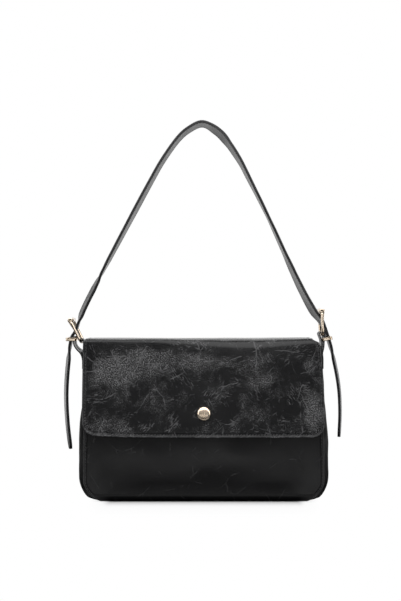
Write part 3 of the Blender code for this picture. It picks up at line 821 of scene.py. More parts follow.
flap = {
    "topHeight": 0.1743, "bottom": 0.0690, "yokeBottom": 0.1360, "frontRadius": 0.0110,
    "backRadius": 0.0090, "stack": 0.0055, "leather": 0.0013, "backing": 0.0009,
    "halfWidth": 0.1305, "cornerRadius": 0.0140, "yokeHalfWidth": 0.1262,
    "backingInset": 0.0010, "stitchInset": 0.0030, "topSag": 0.0003, "drape": 0.0007,
    "cornerLift": 0.0022, "liftTop": 0.140, "liftSpan": 0.070, "liftFrom": 0.35,
    "liftShare": 3, "drapeSize": 0.045, "hangs": 0.2, "level": 0.999, "rightRise": 0.0006,
    "looseFrom": 0.070, "looseSpan": 0.010, "yokeLoose": 0.3, "yokeTop": 0.160,
    "mouth": 0.1655, "columns": (0.0008, 0.0020), "rounding": 0.0003, "plyGap": 0.00005,
    # Height and half width, left and right
    "frontEdge": {-1: ((0.150, 0.1311), (0.166, 0.1308), (0.174, 0.1285)),
                  1: ((0.100, 0.1300), (0.124, 0.1295), (0.140, 0.1285), (0.158, 0.1273),
                      (0.166, 0.1250), (0.174, 0.1180))},
    "backEdge": {-1: ((0.150, 0.1262), (0.174, 0.1280)),
                 1: ((0.150, 0.1262), (0.174, 0.1180))},
    # The front fold's radius swells from both ends to a peak right of the middle
    "foldTight": 0.0040, "foldSwell": 0.0077, "foldPeak": 0.045, "foldSpread": 0.065,
    "foldFade": 0.040,
}
foldTurn = pi / 2 - lean
frontPlane = halfDepth(0) + flap["stack"] / cos(lean)
backPlane = halfDepth(0) + (shell["seamGap"] + flap["leather"]) / cos(lean)


def foldCentre(plane, radius):
    height = flap["topHeight"] - radius
    return (plane - (radius + sin(lean) * height) / cos(lean), height)


def flapSection():
    # (y, z, normal's y and z) of the outer face, from the yoke to the flap's end
    frontY, frontZ = foldCentre(frontPlane, flap["frontRadius"])
    backY, backZ = foldCentre(backPlane, flap["backRadius"])
    slope = tan(lean)
    section = []
    start = backZ + flap["backRadius"] * sin(lean)
    for z in spread(flap["yokeBottom"], start, 20):
        section.append((backPlane - slope * z, z, cos(lean), sin(lean)))
    for turn in spread(foldTurn, 0, 12)[1:]:
        section.append((backY + flap["backRadius"] * sin(turn),
                        backZ + flap["backRadius"] * cos(turn),
                        sin(turn), cos(turn)))
    for share in spread(0, 1, 16)[1:]:
        section.append((backY - (backY + frontY) * share, flap["topHeight"], 0.0, 1.0))
    for turn in spread(0, foldTurn, 16)[1:]:
        section.append((-frontY - flap["frontRadius"] * sin(turn),
                        frontZ + flap["frontRadius"] * cos(turn),
                        -sin(turn), cos(turn)))
    start = frontZ + flap["frontRadius"] * sin(lean)
    corner = flap["bottom"] + flap["cornerRadius"]
    heights = spread(start, corner, 40)[1:]
    heights += [flap["bottom"] + flap["cornerRadius"] * (1 - sin(pi / 2 * turn))
                for turn in spread(0, 1, 18)][1:]
    for z in heights:
        section.append((slope * z - frontPlane, z, -cos(lean), sin(lean)))
    return section


section = flapSection()
splitRow = next(index for index, row in enumerate(section) if row[3] == 1.0 and row[0] < 0.0)
foldEnd = foldCentre(frontPlane, flap["frontRadius"])[1] + flap["frontRadius"] * sin(lean)
frontCrease = min(row[0] for row in section if row[3] == 1.0)
backCrease = max(row[0] for row in section if row[3] == 1.0)
sectionReach = [0.0]
for lower, upper in zip(section[::-1], section[-2::-1]):
    sectionReach.append(sectionReach[-1] + hypot(upper[0] - lower[0], upper[1] - lower[1]))
sectionReach = [flap["bottom"] + reach for reach in sectionReach[::-1]]


def flapHalfWidth(y, z, inset, side):
    sign = 1 if side > 0 else -1
    front = readTable(flap["frontEdge"][sign], z)
    back = readTable(flap["backEdge"][sign], z)
    share = clamp((y - frontCrease) / (backCrease - frontCrease))
    width = front + (back - front) * share - inset
    if y > 0:
        return width
    return width - rollIn(z - flap["bottom"] - inset, flap["cornerRadius"] - inset)


def flapEdgeDistance(x, y, z):
    # How far a place on the flap is from its cut edge
    corner = flap["bottom"] + flap["cornerRadius"]
    side = flapHalfWidth(y, z if y > 0 else max(z, corner), 0, x) - abs(x)
    if y > 0:
        return min(side, z - flap["yokeBottom"] if z < flap["yokeTop"] else side)
    below = z - flap["bottom"]
    radius = flap["cornerRadius"]
    if side < radius and below < radius:
        return radius - hypot(radius - side, radius - below)
    return min(side, below)


def flapPoint(x, row, depth):
    y, z, normalY, normalZ = section[row]
    share = x / flap["halfWidth"]
    level = max(normalZ, 0.0) ** 3
    z -= level * (flap["topSag"] * (1 - share ** 2) - flap["rightRise"] * max(share, 0.0) ** 2)
    hanging = y < 0 and normalZ < flap["hangs"]
    if hanging:
        y -= shell["crown"] * (1 - share ** 2) * sin(pi * z / shell["height"])
        low = clamp((flap["liftTop"] - z) / flap["liftSpan"])
        z += flap["cornerLift"] * low * max(-share - flap["liftFrom"], 0.0) ** 2 * flap["liftShare"]
    loose = flap["yokeLoose"]
    if y < 0:
        loose = clamp((section[row][1] - flap["looseFrom"]) / flap["looseSpan"])
    push = flap["drape"] * loose * drape(x, 0.2, z + y, flap["drapeSize"]) - depth
    if y < 0:
        # The front fold's own radius at this place across, which slides the leather up or down
        gap = (x - flap["foldPeak"]) / flap["foldSpread"]
        tighter = (flap["frontRadius"] - flap["foldTight"]
                   - flap["foldSwell"] * exp(-gap * gap))
        fade = 1.0
        if hanging:
            fade = clamp(1 - (foldEnd - section[row][1]) / flap["foldFade"])
        elif normalZ > flap["level"]:
            fade = section[row][0] / frontCrease
        y -= fade * tighter * ((1 - sin(lean)) / cos(lean) + normalY)
        z += tighter * (1 - normalZ) * fade
    edge = flapEdgeDistance(x, section[row][0], section[row][1])
    if depth == 0:
        push -= groove(edge)
    return Vector((x, y + normalY * push, z + normalZ * push))


def flapSheet(name, rowStart, rowEnd, depth, inset, thickness, skins, outward):
    columns = [d / flap["halfWidth"] - 1 for d in edgeColumns(flap["halfWidth"], *flap["columns"])]
    rows = []
    edges = []
    sheetMap = []
    for index in range(rowStart, rowEnd + 1):
        y, z, _, _ = section[index]
        if inset and y < 0 and z < flap["bottom"] + flap["cornerRadius"]:
            span = flap["cornerRadius"]
            z = flap["bottom"] + inset + (z - flap["bottom"]) * (span - inset) / span
        places = [share * flapHalfWidth(y, z, inset, share) for share in columns]
        rows.append([flapPointAt(x, index, z, depth) for x in places])
        edges.append([flapEdgeDistance(x, y, z) for x in places])
        sheetMap.append([(x, sectionReach[index]) for x in places])
    return leatherSheet(name, rows, outward, thickness, skins, flap["rounding"], edges, sheetMap)


def flapPointAt(x, index, z, depth):
    # The same as flapPoint, slid down the front plane to height z
    point = flapPoint(x, index, depth)
    slid = z - section[index][1]
    return point + Vector((0, tan(lean) * slid, slid))


flapLift = {"bodies": ("shell", "flap_over_mouth"), "start": (0, 0.0262, 0.1655),
            "end": (0, 0.0135, 0.1755)}


flapBend = {"bodies": ("flap_over_mouth", "flap_over_front"), "start": (0, -0.0150, 0.1770),
            "end": (0, -0.0305, 0.1610)}
flapSkins = [flapLeather, edgePaint, suedeBacking]
backingSkins = [suedeBacking, edgePaint, suedeBacking]
lastRow = len(section) - 1
mouthRow = next(index for index, row in enumerate(section) if row[1] > flap["mouth"])


def partAtFold(whole, backName, frontName):
    # Cuts the finished leather across its level top, so that the two halves meet without a seam
    front = addObject(frontName, whole.data.copy())
    for piece, name, side in ((whole, backName, 1), (front, frontName, -1)):
        piece.name = name
        pick(piece, "FACE", lambda corners: True)
        bpy.ops.mesh.bisect(plane_co=(0, section[splitRow][0], 0), plane_no=(0, -side, 0),
                            clear_outer=True, use_fill=True)
        setMode("OBJECT")
    return whole, front


flapWhole = flapSheet("flapBack", 0, lastRow, 0, 0, flap["leather"], flapSkins, (0, -1, 0))
flapBack, flapFront = partAtFold(flapWhole, "flapBack", "flapFront")
backingDepth = flap["leather"] + flap["plyGap"]
backingWhole = flapSheet("flapBackLining", mouthRow, lastRow, backingDepth,
                         flap["backingInset"], flap["backing"], backingSkins, (0, -1, 0))
flapBackLining, flapFrontLining = partAtFold(backingWhole, "flapBackLining", "flapFrontLining")


def flapSeam(rows):
    lines = []
    corner = flap["bottom"] + flap["cornerRadius"]
    for side in (-1, 1):
        line = []
        for index in rows:
            y, z, normalY, normalZ = section[index]
            if y < 0 and z < corner:
                break
            width = flapHalfWidth(y, z, 0, side) - flap["stitchInset"]
            line.append((flapPoint(side * width, index, 0.0), Vector((0, normalY, normalZ))))
        lines.append(line)
    return lines


def flapHem():
    # Along one side's corner, the lower edge and the other corner
    radius = flap["cornerRadius"] - flap["stitchInset"]
    centreX = flap["halfWidth"] - flap["cornerRadius"]
    centreZ = flap["bottom"] + flap["cornerRadius"]
    places = [(-centreX - radius * cos(turn), centreZ - radius * sin(turn))
              for turn in spread(0, pi / 2, 10)]
    places += [(x, centreZ - radius) for x in spread(-centreX, centreX, 90)[1:-1]]
    places += [(-x, z) for x, z in places[:11][::-1]]
    line = []
    for x, z in places:
        nearest = min(range(splitRow, len(section)), key=lambda row: abs(section[row][1] - z)
                      + (1.0 if section[row][3] > flap["hangs"] else 0.0))
        point = flapPointAt(x, nearest, z, 0.0)
        line.append((point, Vector((0, -cos(lean), sin(lean)))))
    return line


backRows = list(range(2, splitRow + 1))
frontRows = list(range(splitRow, lastRow + 1))
yokeHem = [(flapPoint(x, 2, 0.0), Vector((0, cos(lean), sin(lean))))
           for x in spread(flap["stitchInset"] - flap["yokeHalfWidth"],
                           flap["yokeHalfWidth"] - flap["stitchInset"], 90)]
flapBackStitches = sewLines("flapBackStitches", flapSeam(backRows) + [yokeHem], finThread)
flapFrontStitches = sewLines("flapFrontStitches", flapSeam(frontRows) + [flapHem()], finThread)

finish(flapBack, blend=flapLift, stands=["flap_yoke", "flap_top"])
finish(flapFront, blend=flapBend, stands=["flap_front"])
finish(flapBackLining, blend=flapLift, stands=["flap_top_lining"])
finish(flapFrontLining, blend=flapBend, stands=["flap_front_lining"])
finish(flapBackStitches, blend=flapLift)
finish(flapFrontStitches, blend=flapBend)
print("flap folded")


# ---- strap: both plies, their painted edges and their stitching

strap = {
    "halfWidth": 0.0105, "thickness": 0.0030, "tipRound": 0.0080, "spacing": 0.0025,
    "apex": (-0.0019, 0.4120), "crossingShare": 0.55, "stitchInset": 0.0022,
    "seamSink": 0.00012, "seamSkip": 0.008,
    "atKeeper": {"left": (-0.1468, 0.1732), "right": (0.1379, 0.1738)},
    "tailLength": {"left": 0.1212, "right": 0.1085},
    "tailDrift": {"left": 0.0010, "right": 0.0122},
    "tailBow": {"left": 0.0052, "right": 0.0058},
    "legShares": {
        "left": ((0.055, 0.095), (0.175, 0.241), (0.429, 0.533), (0.600, 0.727),
                 (0.692, 0.825), (0.805, 0.922), (0.893, 0.971)),
        "right": ((0.072, 0.058), (0.204, 0.210), (0.433, 0.514), (0.600, 0.716),
                  (0.688, 0.818), (0.803, 0.919), (0.892, 0.970))},
    "holeRadius": 0.0014, "holeSpacing": 0.0200, "holeCount": 3, "holeDepth": 0.010,
    "slotWidth": 0.0034, "slotLength": 0.017, "slotStretch": 2.4, "slotDrop": 0.0015,
    # Height and turn about the strap's own length: over 0 shows the outer face
    "turns": {
        "left": ((0.150, 14), (0.166, 3), (0.190, 4), (0.201, 16), (0.228, 16), (0.236, 13),
                 (0.247, 2), (0.264, -2), (0.290, -4), (0.320, -6), (0.385, -5), (0.412, -6)),
        "right": ((0.150, 11), (0.166, 1), (0.178, 0), (0.205, -13), (0.228, -10),
                  (0.250, -7), (0.272, -2), (0.290, -1), (0.306, 1), (0.330, -1),
                  (0.360, -4), (0.387, -8), (0.397, -13), (0.405, -12), (0.412, -6))},
}
buckle = {
    "heel": {"left": (-0.1353, 0.1712), "right": (0.1306, 0.1788)},
    "tilt": {"left": radians(25.6), "right": radians(-2.5)},
    "length": 0.0255, "halfWidth": 0.0127, "wire": 0.0015, "corner": 0.0035,
    "barRadius": 0.0028, "pinRadius": 0.0010, "eyeRadius": 0.0027,
    "overhang": 0.0015, "barRound": 0.0008, "eyeGap": 0.0002, "eyeStretch": 2.2,
    "pinStart": (0.0002, 0, 0.0019), "pinTaper": 0.75, "pinEdge": 0.0003,
    "pinTip": 0.012,
}
sides = {"left": -1, "right": 1}


def buckleMatrix(side):
    x, z = buckle["heel"][side]
    sign = sides[side]
    tilt = buckle["tilt"][side]
    up = Vector((sign * sin(tilt), 0, cos(tilt)))
    out = Vector((sign * cos(tilt), 0, -sin(tilt)))
    turn = Matrix((out, up.cross(out), up)).transposed().to_4x4()
    return Matrix.Translation((x, 0, z)) @ turn


def tailPoint(side, share):
    # A place on a tail, as a share of the way from the keeper to its tip
    x, z = strap["atKeeper"][side]
    out = strap["tailDrift"][side] * share + strap["tailBow"][side] * sin(pi * share)
    return Vector((x, 0, z)) + Vector((sides[side] * out, 0, -strap["tailLength"][side] * share))


def strapControls():
    apex = Vector((strap["apex"][0], 0, strap["apex"][1]))
    controls = {}
    for side in sides:
        foot = buckleMatrix(side) @ Vector((0, 0, strap["crossingShare"] * buckle["length"]))
        leg = [Vector((foot.x + (apex.x - foot.x) * across, 0, foot.z + (apex.z - foot.z) * up))
               for across, up in strap["legShares"][side]]
        controls[side] = [tailPoint(side, share) for share in spread(1, 0, 4)] + [foot] + leg
    return controls["left"] + [apex] + controls["right"][::-1]


def strapTwist(x, z):
    # How far the strap turns about its own length, in radians
    side = "left" if x < strap["apex"][0] else "right"
    return radians(readTable(strap["turns"][side], z))


def ribbonFrames(route):
    # (point, across, normal, how far along) at each place of the route
    frames = []
    for index, (point, reach) in enumerate(zip(route, chainReach(route))):
        along = (route[min(index + 1, len(route) - 1)] - route[max(index - 1, 0)]).normalized()
        turned = Matrix.Rotation(strapTwist(point.x, point.z), 3, along)
        frames.append((point, turned @ Vector((0, -1, 0)),
                       turned @ Vector((-along.z, 0, along.x)), reach))
    return frames


ribbon = {
    "edge": 0.22, "shoulderIn": 0.35, "shoulderDrop": 0.20, "faceInset": 0.0002,
    "seamSink": 0.00015, "crown": 0.0002, "grooveHalf": 0.00022, "grooveDepth": 0.00025,
}


def ribbonProfile(half, thick, middleGroove):
    # (across, up, skin) round a flat strap: 0 is leather, 1 is the painted edge
    edge = ribbon["edge"] * thick
    outer, seam = half - edge - ribbon["faceInset"], half - strap["stitchInset"]
    sink, crown = -ribbon["seamSink"], ribbon["crown"]
    face = [(-outer, 0.0), (-seam, sink), (0.0, crown), (seam, sink), (outer, 0.0)]
    shoulder = (half - edge * ribbon["shoulderIn"], thick / 2 - edge * ribbon["shoulderDrop"])
    profile = [(u, thick / 2 + lift, 0) for u, lift in face]
    profile += [(*shoulder, 1), (half, thick / 2 - edge, 1)]
    if middleGroove:
        profile += [(half, ribbon["grooveHalf"], 1), (half - ribbon["grooveDepth"], 0.0, 1),
                    (half, -ribbon["grooveHalf"], 1)]
    profile += [(half, edge - thick / 2, 1), (shoulder[0], -shoulder[1], 1)]
    profile += [(-u, -thick / 2 - lift, 0) for u, lift in face]
    return profile + [(-u, v, skin) for u, v, skin in profile[5:-5][::-1]]


def sweepRibbon(name, route, half, thick, tipRound, middleGroove=True):
    frames = ribbonFrames(route)
    length = frames[-1][3]
    profile = ribbonProfile(half, thick, middleGroove)
    vertices = []
    for point, across, normal, reach in frames:
        fromEnd = min(reach, length - reach)
        narrow = 1.0
        if fromEnd < tipRound:
            narrow = 1 - (1 - fromEnd / tipRound) ** 2 / 2
        for u, v, _ in profile:
            squeeze = u if abs(u) < half * 0.5 else u - copysign(half * (1 - narrow), u)
            vertices.append(point + across * squeeze + normal * v)
    count = len(profile)
    faces = ringFaces(len(frames), count)
    faces.append(tuple(range(count))[::-1])
    faces.append(tuple((len(frames) - 1) * count + step for step in range(count)))
    skins = [max(profile[step][2], profile[(step + 1) % count][2]) for step in range(count)]
    piece = newPiece(name, vertices, faces, [strapLeather, edgePaint])
    for face, skin in zip(piece.data.polygons, skins * (len(frames) - 1) + [1, 1]):
        face.material_index = skin
    mapSheet(piece, [(u + copysign(3.0, v), frame[3])
                     for frame in frames for u, v, _ in profile])
    turnNormals(piece)
    return piece, frames


def cutWith(piece, cutter):
    addModifier(piece, "BOOLEAN", object=cutter, solver="EXACT")
    applyAll(piece)
    bpy.data.objects.remove(cutter, do_unlink=True)


strapRoute = evenRoute(smoothCurve(strapControls()), strap["spacing"])
strapBand, strapFrames = sweepRibbon("strapBand", strapRoute, strap["halfWidth"],
                                     strap["thickness"], strap["tipRound"])


def pierceStrap(side):
    # The pin's slot at the buckle and the row of holes in the tail
    height = strap["crossingShare"] * buckle["length"]
    pinRise = buckle["barRadius"] + buckle["pinRadius"] + shell["seamGap"]
    foot = (buckle["eyeRadius"] + buckle["wire"] + shell["seamGap"]) / 2
    rise = pinRise * (height - foot) / (buckle["length"] + buckle["overhang"] - foot)
    slot = newPrimitive(bpy.ops.mesh.primitive_cylinder_add, vertices=24,
                        radius=strap["slotWidth"] / 2, depth=strap["slotLength"])
    slot.data.transform(Matrix.Rotation(pi / 2, 4, "Y"))
    slot.data.transform(Matrix.Diagonal((1, 1, strap["slotStretch"], 1)))
    slot.data.transform(buckleMatrix(side)
                        @ Matrix.Translation((rise, 0, height - strap["slotDrop"])))
    cutWith(strapBand, slot)
    for number in range(1, strap["holeCount"] + 1):
        share = number * strap["holeSpacing"] / strap["tailLength"][side]
        cutWith(strapBand, newPrimitive(
            bpy.ops.mesh.primitive_cylinder_add, vertices=20, radius=strap["holeRadius"],
            depth=strap["holeDepth"], location=tailPoint(side, share), rotation=(0, pi / 2, 0)))


for side in sides:
    pierceStrap(side)
smoothAt(strapBand, 38)


def strapSeams():
    # Four rows, one beside each edge of both faces
    length = strapFrames[-1][3]
    skip = strap["seamSkip"]
    beside = strap["halfWidth"] - strap["stitchInset"]
    above = strap["thickness"] / 2 - strap["seamSink"]
    return [[(point + across * edge * beside + normal * face * above, normal * face)
             for point, across, normal, reach in strapFrames if skip < reach < length - skip]
            for face in (-1, 1) for edge in (-1, 1)]


strapThread = dict(finThread, pitch=0.0034, width=0.00055, height=0.00034, lift=-0.00006,
                   material=darkThread)
strapStitches = sewLines("strapStitches", strapSeams(), strapThread)
finish(strapBand, "strap", ["strap_outer", "strap_inner"])
finish(strapStitches, "strap")
print("strap stitched")


# ---- tabs: a strip that turns over each heel bar and is sewn to the gusset

tab = {
    "halfWidth": 0.0090, "leather": 0.0014, "spacing": 0.0009, "tipRound": 0.0004,
    "footDrop": 0.0250, "neckDrop": 0.0090, "plyGap": 0.0003, "inKeeper": 0.0030,
    "slotHalfWidth": 0.0020, "slotReach": 0.0085, "stitchInset": 0.0018, "pitch": 0.0028,
    "wrapEnd": {"left": radians(85), "right": 0.0},
    "bendStart": (0, 0, 0.1500), "bendEnd": (0, 0, 0.1700),
    "slack": {"left": 1.0, "right": 1.5}, "tuck": 0.0004, "tuckDrop": 0.0030,
    "exitDrop": 0.0046, "seamDrop": 0.002, "seamSink": 0.0001,
}
keeper = {
    "place": {"left": (-0.1459, 0.1732), "right": (0.13555, 0.1738)},
    "tilt": {"left": 0.0, "right": radians(-12)},
    "reach": 0.0116, "halfWidth": 0.0122, "height": 0.0036, "wall": 0.0012,
    "corner": 0.0022, "rimRound": 0.0004,
    "grooveRise": 0.0006, "grooveHalf": 0.00018, "grooveDepth": 0.00022, "near": 0.00002,
}


def tabRoute(side):
    # Up the gusset, over the heel bar, down through the keeper and back to the gusset
    heelX, heelZ = abs(buckle["heel"][side][0]), buckle["heel"][side][1]
    clear = shell["seamGap"] + tab["leather"] / 2
    wrap = buckle["wire"] + clear
    foot = shell["height"] - tab["footDrop"]
    neck = shell["height"] - tab["neckDrop"]
    footX = max(gussetWidth(0, foot), gussetWidth(0, neck)) + clear
    outerX = footX + tab["leather"] + tab["plyGap"]
    keeperX, keeperZ = abs(keeper["place"][side][0]), keeper["place"][side][1]
    plyX = keeperX - tab["inKeeper"]
    points = [(footX, foot), (footX, neck)]
    if keeperX - keeper["reach"] / 2 < heelX:
        points.append((plyX - tab["leather"] - tab["plyGap"] - tab["tuck"],
                       keeperZ - tab["tuckDrop"]))
    for angle in spread(pi, tab["wrapEnd"][side], 5):
        slack = tab["slack"][side] if angle > pi / 2 else 1.0
        points.append((heelX + wrap * cos(angle) * slack, heelZ + wrap * sin(angle)))
    rim = keeperZ + keeper["height"] / 2
    if heelZ + wrap < rim + clear:
        points.append((keeperX - (keeper["reach"] - keeper["wall"]) / 2,
                       rim + clear + shell["seamGap"]))
    points += [(plyX, rim), (plyX, keeperZ - keeper["height"] - tab["exitDrop"]),
               (outerX, neck), (outerX, foot)]
    return evenRoute(roundedCurve([Vector((sides[side] * x, 0, z)) for x, z in points]),
                     tab["spacing"])


def buildTab(side):
    name = "tab" + side.capitalize()
    piece, frames = sweepRibbon(name, tabRoute(side), tab["halfWidth"], tab["leather"],
                                tab["tipRound"], middleGroove=False)
    slot = newPrimitive(bpy.ops.mesh.primitive_cube_add, size=1)
    reach = 2 * tab["slotReach"]
    slot.data.transform(Matrix.Diagonal((reach, 2 * tab["slotHalfWidth"], reach, 1)))
    slot.data.transform(buckleMatrix(side))
    cutWith(piece, slot)
    smoothAt(piece, 38)
    neck = shell["height"] - tab["neckDrop"] - tab["seamDrop"]
    outward = Vector((sides[side], 0, 0))
    lift = outward * (tab["leather"] / 2 - tab["seamSink"])
    lines = [[(point + across * edge * (tab["halfWidth"] - tab["stitchInset"]) + lift, outward)
              for point, across, _, along in frames
              if point.z < neck and along > frames[-1][3] / 2] for edge in (-1, 1)]
    stitches = sewLines(name + "Stitches", lines, dict(strapThread, pitch=tab["pitch"]))
    bends = {"bodies": ("shell", "strap"), "start": tab["bendStart"], "end": tab["bendEnd"]}
    finish(piece, blend=bends, stands=["tab_" + side])
    finish(stitches, blend=bends)


for side in sides:
    buildTab(side)
print("tabs looped")


# ---- buckles, keepers and snap in pale gold

def finishMetal(piece, node, body, place=Matrix(), plating=paleGold, degrees=35):
    piece.data.transform(place)
    piece.data.materials.clear()
    piece.data.materials.append(plating)
    smoothAt(piece, degrees)
    finish(piece, body, [node])


def buildFrame(side):
    # A plane's outline with rounded corners, turned into a bent wire, and its thick front bar
    outline = newPrimitive(bpy.ops.mesh.primitive_plane_add, size=1)
    outline.name = "buckleFrame" + side.capitalize()
    outline.data.transform(Matrix.Rotation(pi / 2, 4, "Y"))
    outline.data.transform(Matrix.Diagonal((1, 2 * buckle["halfWidth"], buckle["length"], 1)))
    rounding = {"offset": buckle["corner"], "segments": 8, "affect": "VERTICES"}
    editAll(outline, (bpy.ops.mesh.bevel, rounding), (bpy.ops.mesh.delete, {"type": "ONLY_FACE"}))
    bpy.ops.object.convert(target="CURVE")
    wire = bpy.context.object
    wire.data.bevel_depth = buckle["wire"]
    wire.data.bevel_resolution = 6
    bpy.ops.object.convert(target="MESH")
    ring = bpy.context.object
    ring.data.transform(Matrix.Translation((0, 0, buckle["length"] / 2)))
    bar = newPrimitive(bpy.ops.mesh.primitive_cylinder_add, vertices=40, radius=buckle["barRadius"],
                       depth=2 * (buckle["halfWidth"] + buckle["wire"] - shell["seamGap"]),
                       location=(0, 0, buckle["length"]), rotation=(pi / 2, 0, 0))
    addRounding(bar, buckle["barRound"], 4)
    applyAll(bar)
    bpy.ops.object.transform_apply()
    joinInto(ring)
    finishMetal(ring, "buckle_frame_" + side, "strap", buckleMatrix(side))


def buildTongue(side):
    # An eye round the heel bar and a tapering pin that rests on the front bar
    middle = (buckle["eyeRadius"] + buckle["wire"] + buckle["eyeGap"]) / 2
    eye = newPrimitive(bpy.ops.mesh.primitive_torus_add, major_radius=middle,
                       minor_radius=(buckle["eyeRadius"] - buckle["wire"] - buckle["eyeGap"]) / 2,
                       major_segments=32, minor_segments=12, rotation=(pi / 2, 0, 0))
    bpy.ops.object.transform_apply()
    eye.data.transform(Matrix.Diagonal((1, buckle["eyeStretch"], 1, 1)))
    pin = newPrimitive(bpy.ops.mesh.primitive_cylinder_add, vertices=20,
                       radius=buckle["pinRadius"], depth=1, end_fill_type="NGON")
    pick(pin, "FACE", lambda corners: all(corner.z > 0.4 for corner in corners))
    bpy.ops.transform.resize(value=(buckle["pinTaper"], buckle["pinTaper"], 1))
    bpy.ops.mesh.inset(thickness=buckle["pinEdge"])
    bpy.ops.transform.translate(value=(0, 0, buckle["pinTip"]))
    setMode("OBJECT")
    start = Vector(buckle["pinStart"])
    end = Vector((buckle["barRadius"] + buckle["pinRadius"] + shell["seamGap"], 0,
                  buckle["length"] + buckle["overhang"]))
    along = end - start
    aim = along.to_track_quat("Z", "Y").to_matrix().to_4x4()
    pin.data.transform(Matrix.Translation((start + end) / 2) @ aim
                       @ Matrix.Diagonal((1, 1, along.length, 1)))
    joinInto(eye)
    eye.name = "buckleTongue" + side.capitalize()
    finishMetal(eye, "buckle_tongue_" + side, "tongue_" + side, buckleMatrix(side))


def buildKeeper(side):
    # A cube opened above and below, walled, rounded and grooved into a flat metal loop
    band = newPrimitive(bpy.ops.mesh.primitive_cube_add, size=1)
    band.name = "keeper" + side.capitalize()
    band.data.transform(Matrix.Diagonal((keeper["reach"], 2 * keeper["halfWidth"],
                                         keeper["height"], 1)))
    half = keeper["height"] / 2
    pick(band, "FACE", lambda corners: abs(sum(corner.z for corner in corners)) > 3 * half)
    bpy.ops.mesh.delete(type="ONLY_FACE")
    setMode("OBJECT")
    pick(band, "EDGE", lambda ends: abs(ends[0].z - ends[1].z) > half)
    bpy.ops.mesh.bevel(offset=keeper["corner"], segments=8, affect="EDGES")
    for level in (-1, 1):
        for step in (-1, 0, 1):
            bpy.ops.mesh.select_all(action="SELECT")
            bpy.ops.mesh.bisect(plane_no=(0, 0, 1), plane_co=(
                0, 0, level * keeper["grooveRise"] + step * keeper["grooveHalf"]))
    setMode("OBJECT")
    turnNormals(band)
    pick(band, "EDGE", lambda ends: all(abs(abs(end.z) - keeper["grooveRise"]) < keeper["near"]
                                        for end in ends))
    sink = 2 * keeper["grooveDepth"]
    bpy.ops.transform.resize(value=(1 - sink / keeper["reach"],
                                    1 - sink / (2 * keeper["halfWidth"]), 1))
    setMode("OBJECT")
    addModifier(band, "SOLIDIFY", thickness=keeper["wall"], offset=-1)
    addRounding(band, keeper["rimRound"], 3, 60)
    applyAll(band)
    x, z = keeper["place"][side]
    turn = Matrix.Rotation(sides[side] * keeper["tilt"][side], 4, "Y")
    finishMetal(band, "keeper_" + side, "keeper_" + side, Matrix.Translation((x, 0, z)) @ turn)


for side in sides:
    buildFrame(side)
    buildTongue(side)
    buildKeeper(side)
print("buckles cast")

snap = {
    "height": 0.0940, "capRadius": 0.00725, "capRise": 0.0029, "capRim": 0.0008, "capBase": 0.0058,
    # Share of the radius and of the rise, from the rim to the middle of the dome
    "dome": ((0.997, 0.12), (0.985, 0.26), (0.960, 0.42), (0.925, 0.55), (0.88, 0.66),
             (0.82, 0.75), (0.74, 0.82), (0.64, 0.88), (0.52, 0.93), (0.38, 0.965),
             (0.22, 0.988), (0.10, 0.998)),
    # Slide and shrink of each ring under the rim, down to the post
    "foot": ((-0.00035, 1.0), (-0.00030, 0.985), (-0.00010, 0.95), (0.0, 0.25), (-0.0028, 1.0)),
    "polish": 0.00012, "weld": 0.000001, "flat": radians(1),
}


def snapMatrix(rise):
    depth = halfDepth(snap["height"]) + shell["crown"] * sin(
        pi * snap["height"] / shell["height"])
    turn = Matrix.Rotation(pi / 2 - lean, 4, "X")
    return Matrix.Translation((0, -depth, snap["height"])) @ turn @ Matrix.Translation((0, 0, rise))


def buildCap():
    # A disc pushed up ring by ring into a low dome, with a rolled rim and a foot under it
    cap = newPrimitive(bpy.ops.mesh.primitive_circle_add, vertices=64, radius=snap["capRadius"],
                       fill_type="NGON")
    cap.name = "snapCap"
    pick(cap, "FACE", lambda corners: True)
    reach, rise = 1.0, 0.0
    for share, height in snap["dome"]:
        level = height * (snap["capRise"] - snap["capRim"])
        bpy.ops.mesh.extrude_region_move(TRANSFORM_OT_translate={"value": (0, 0, level - rise)})
        bpy.ops.transform.resize(value=(share / reach, share / reach, 1))
        reach, rise = share, level
    setMode("OBJECT")
    pick(cap, "EDGE", lambda ends: all(abs(end.z) < 1e-7 for end in ends))
    for slide, size in snap["foot"]:
        bpy.ops.mesh.extrude_region_move(TRANSFORM_OT_translate={"value": (0, 0, slide)})
        bpy.ops.transform.resize(value=(size, size, 1))
    bpy.ops.mesh.edge_face_add()
    setMode("OBJECT")
    turnNormals(cap)
    finishMetal(cap, "snap_cap", "flap_over_front",
                snapMatrix(snap["capBase"] + snap["capRim"]), satinGold, 50)


buildCap()


def polishNode(name, pieceName, body):
    # A welded and softened copy of a packed fitting
    piece = addObject(pieceName, cadNodes[name].data.copy())
    editAll(piece, (bpy.ops.mesh.remove_doubles, {"threshold": snap["weld"]}),
            (bpy.ops.mesh.dissolve_limited, {"angle_limit": snap["flat"]}))
    addRounding(piece, snap["polish"], 2, 35)
    applyAll(piece)
    finishMetal(piece, name, body)


polishNode("snap_socket", "snapSocket", "flap_over_front")
polishNode("snap_stud", "snapStud", "shell")
polishNode("snap_post", "snapPost", "shell")
print("snap set")


# ---- inside: lining bag with a leather facing, slip pocket and base board

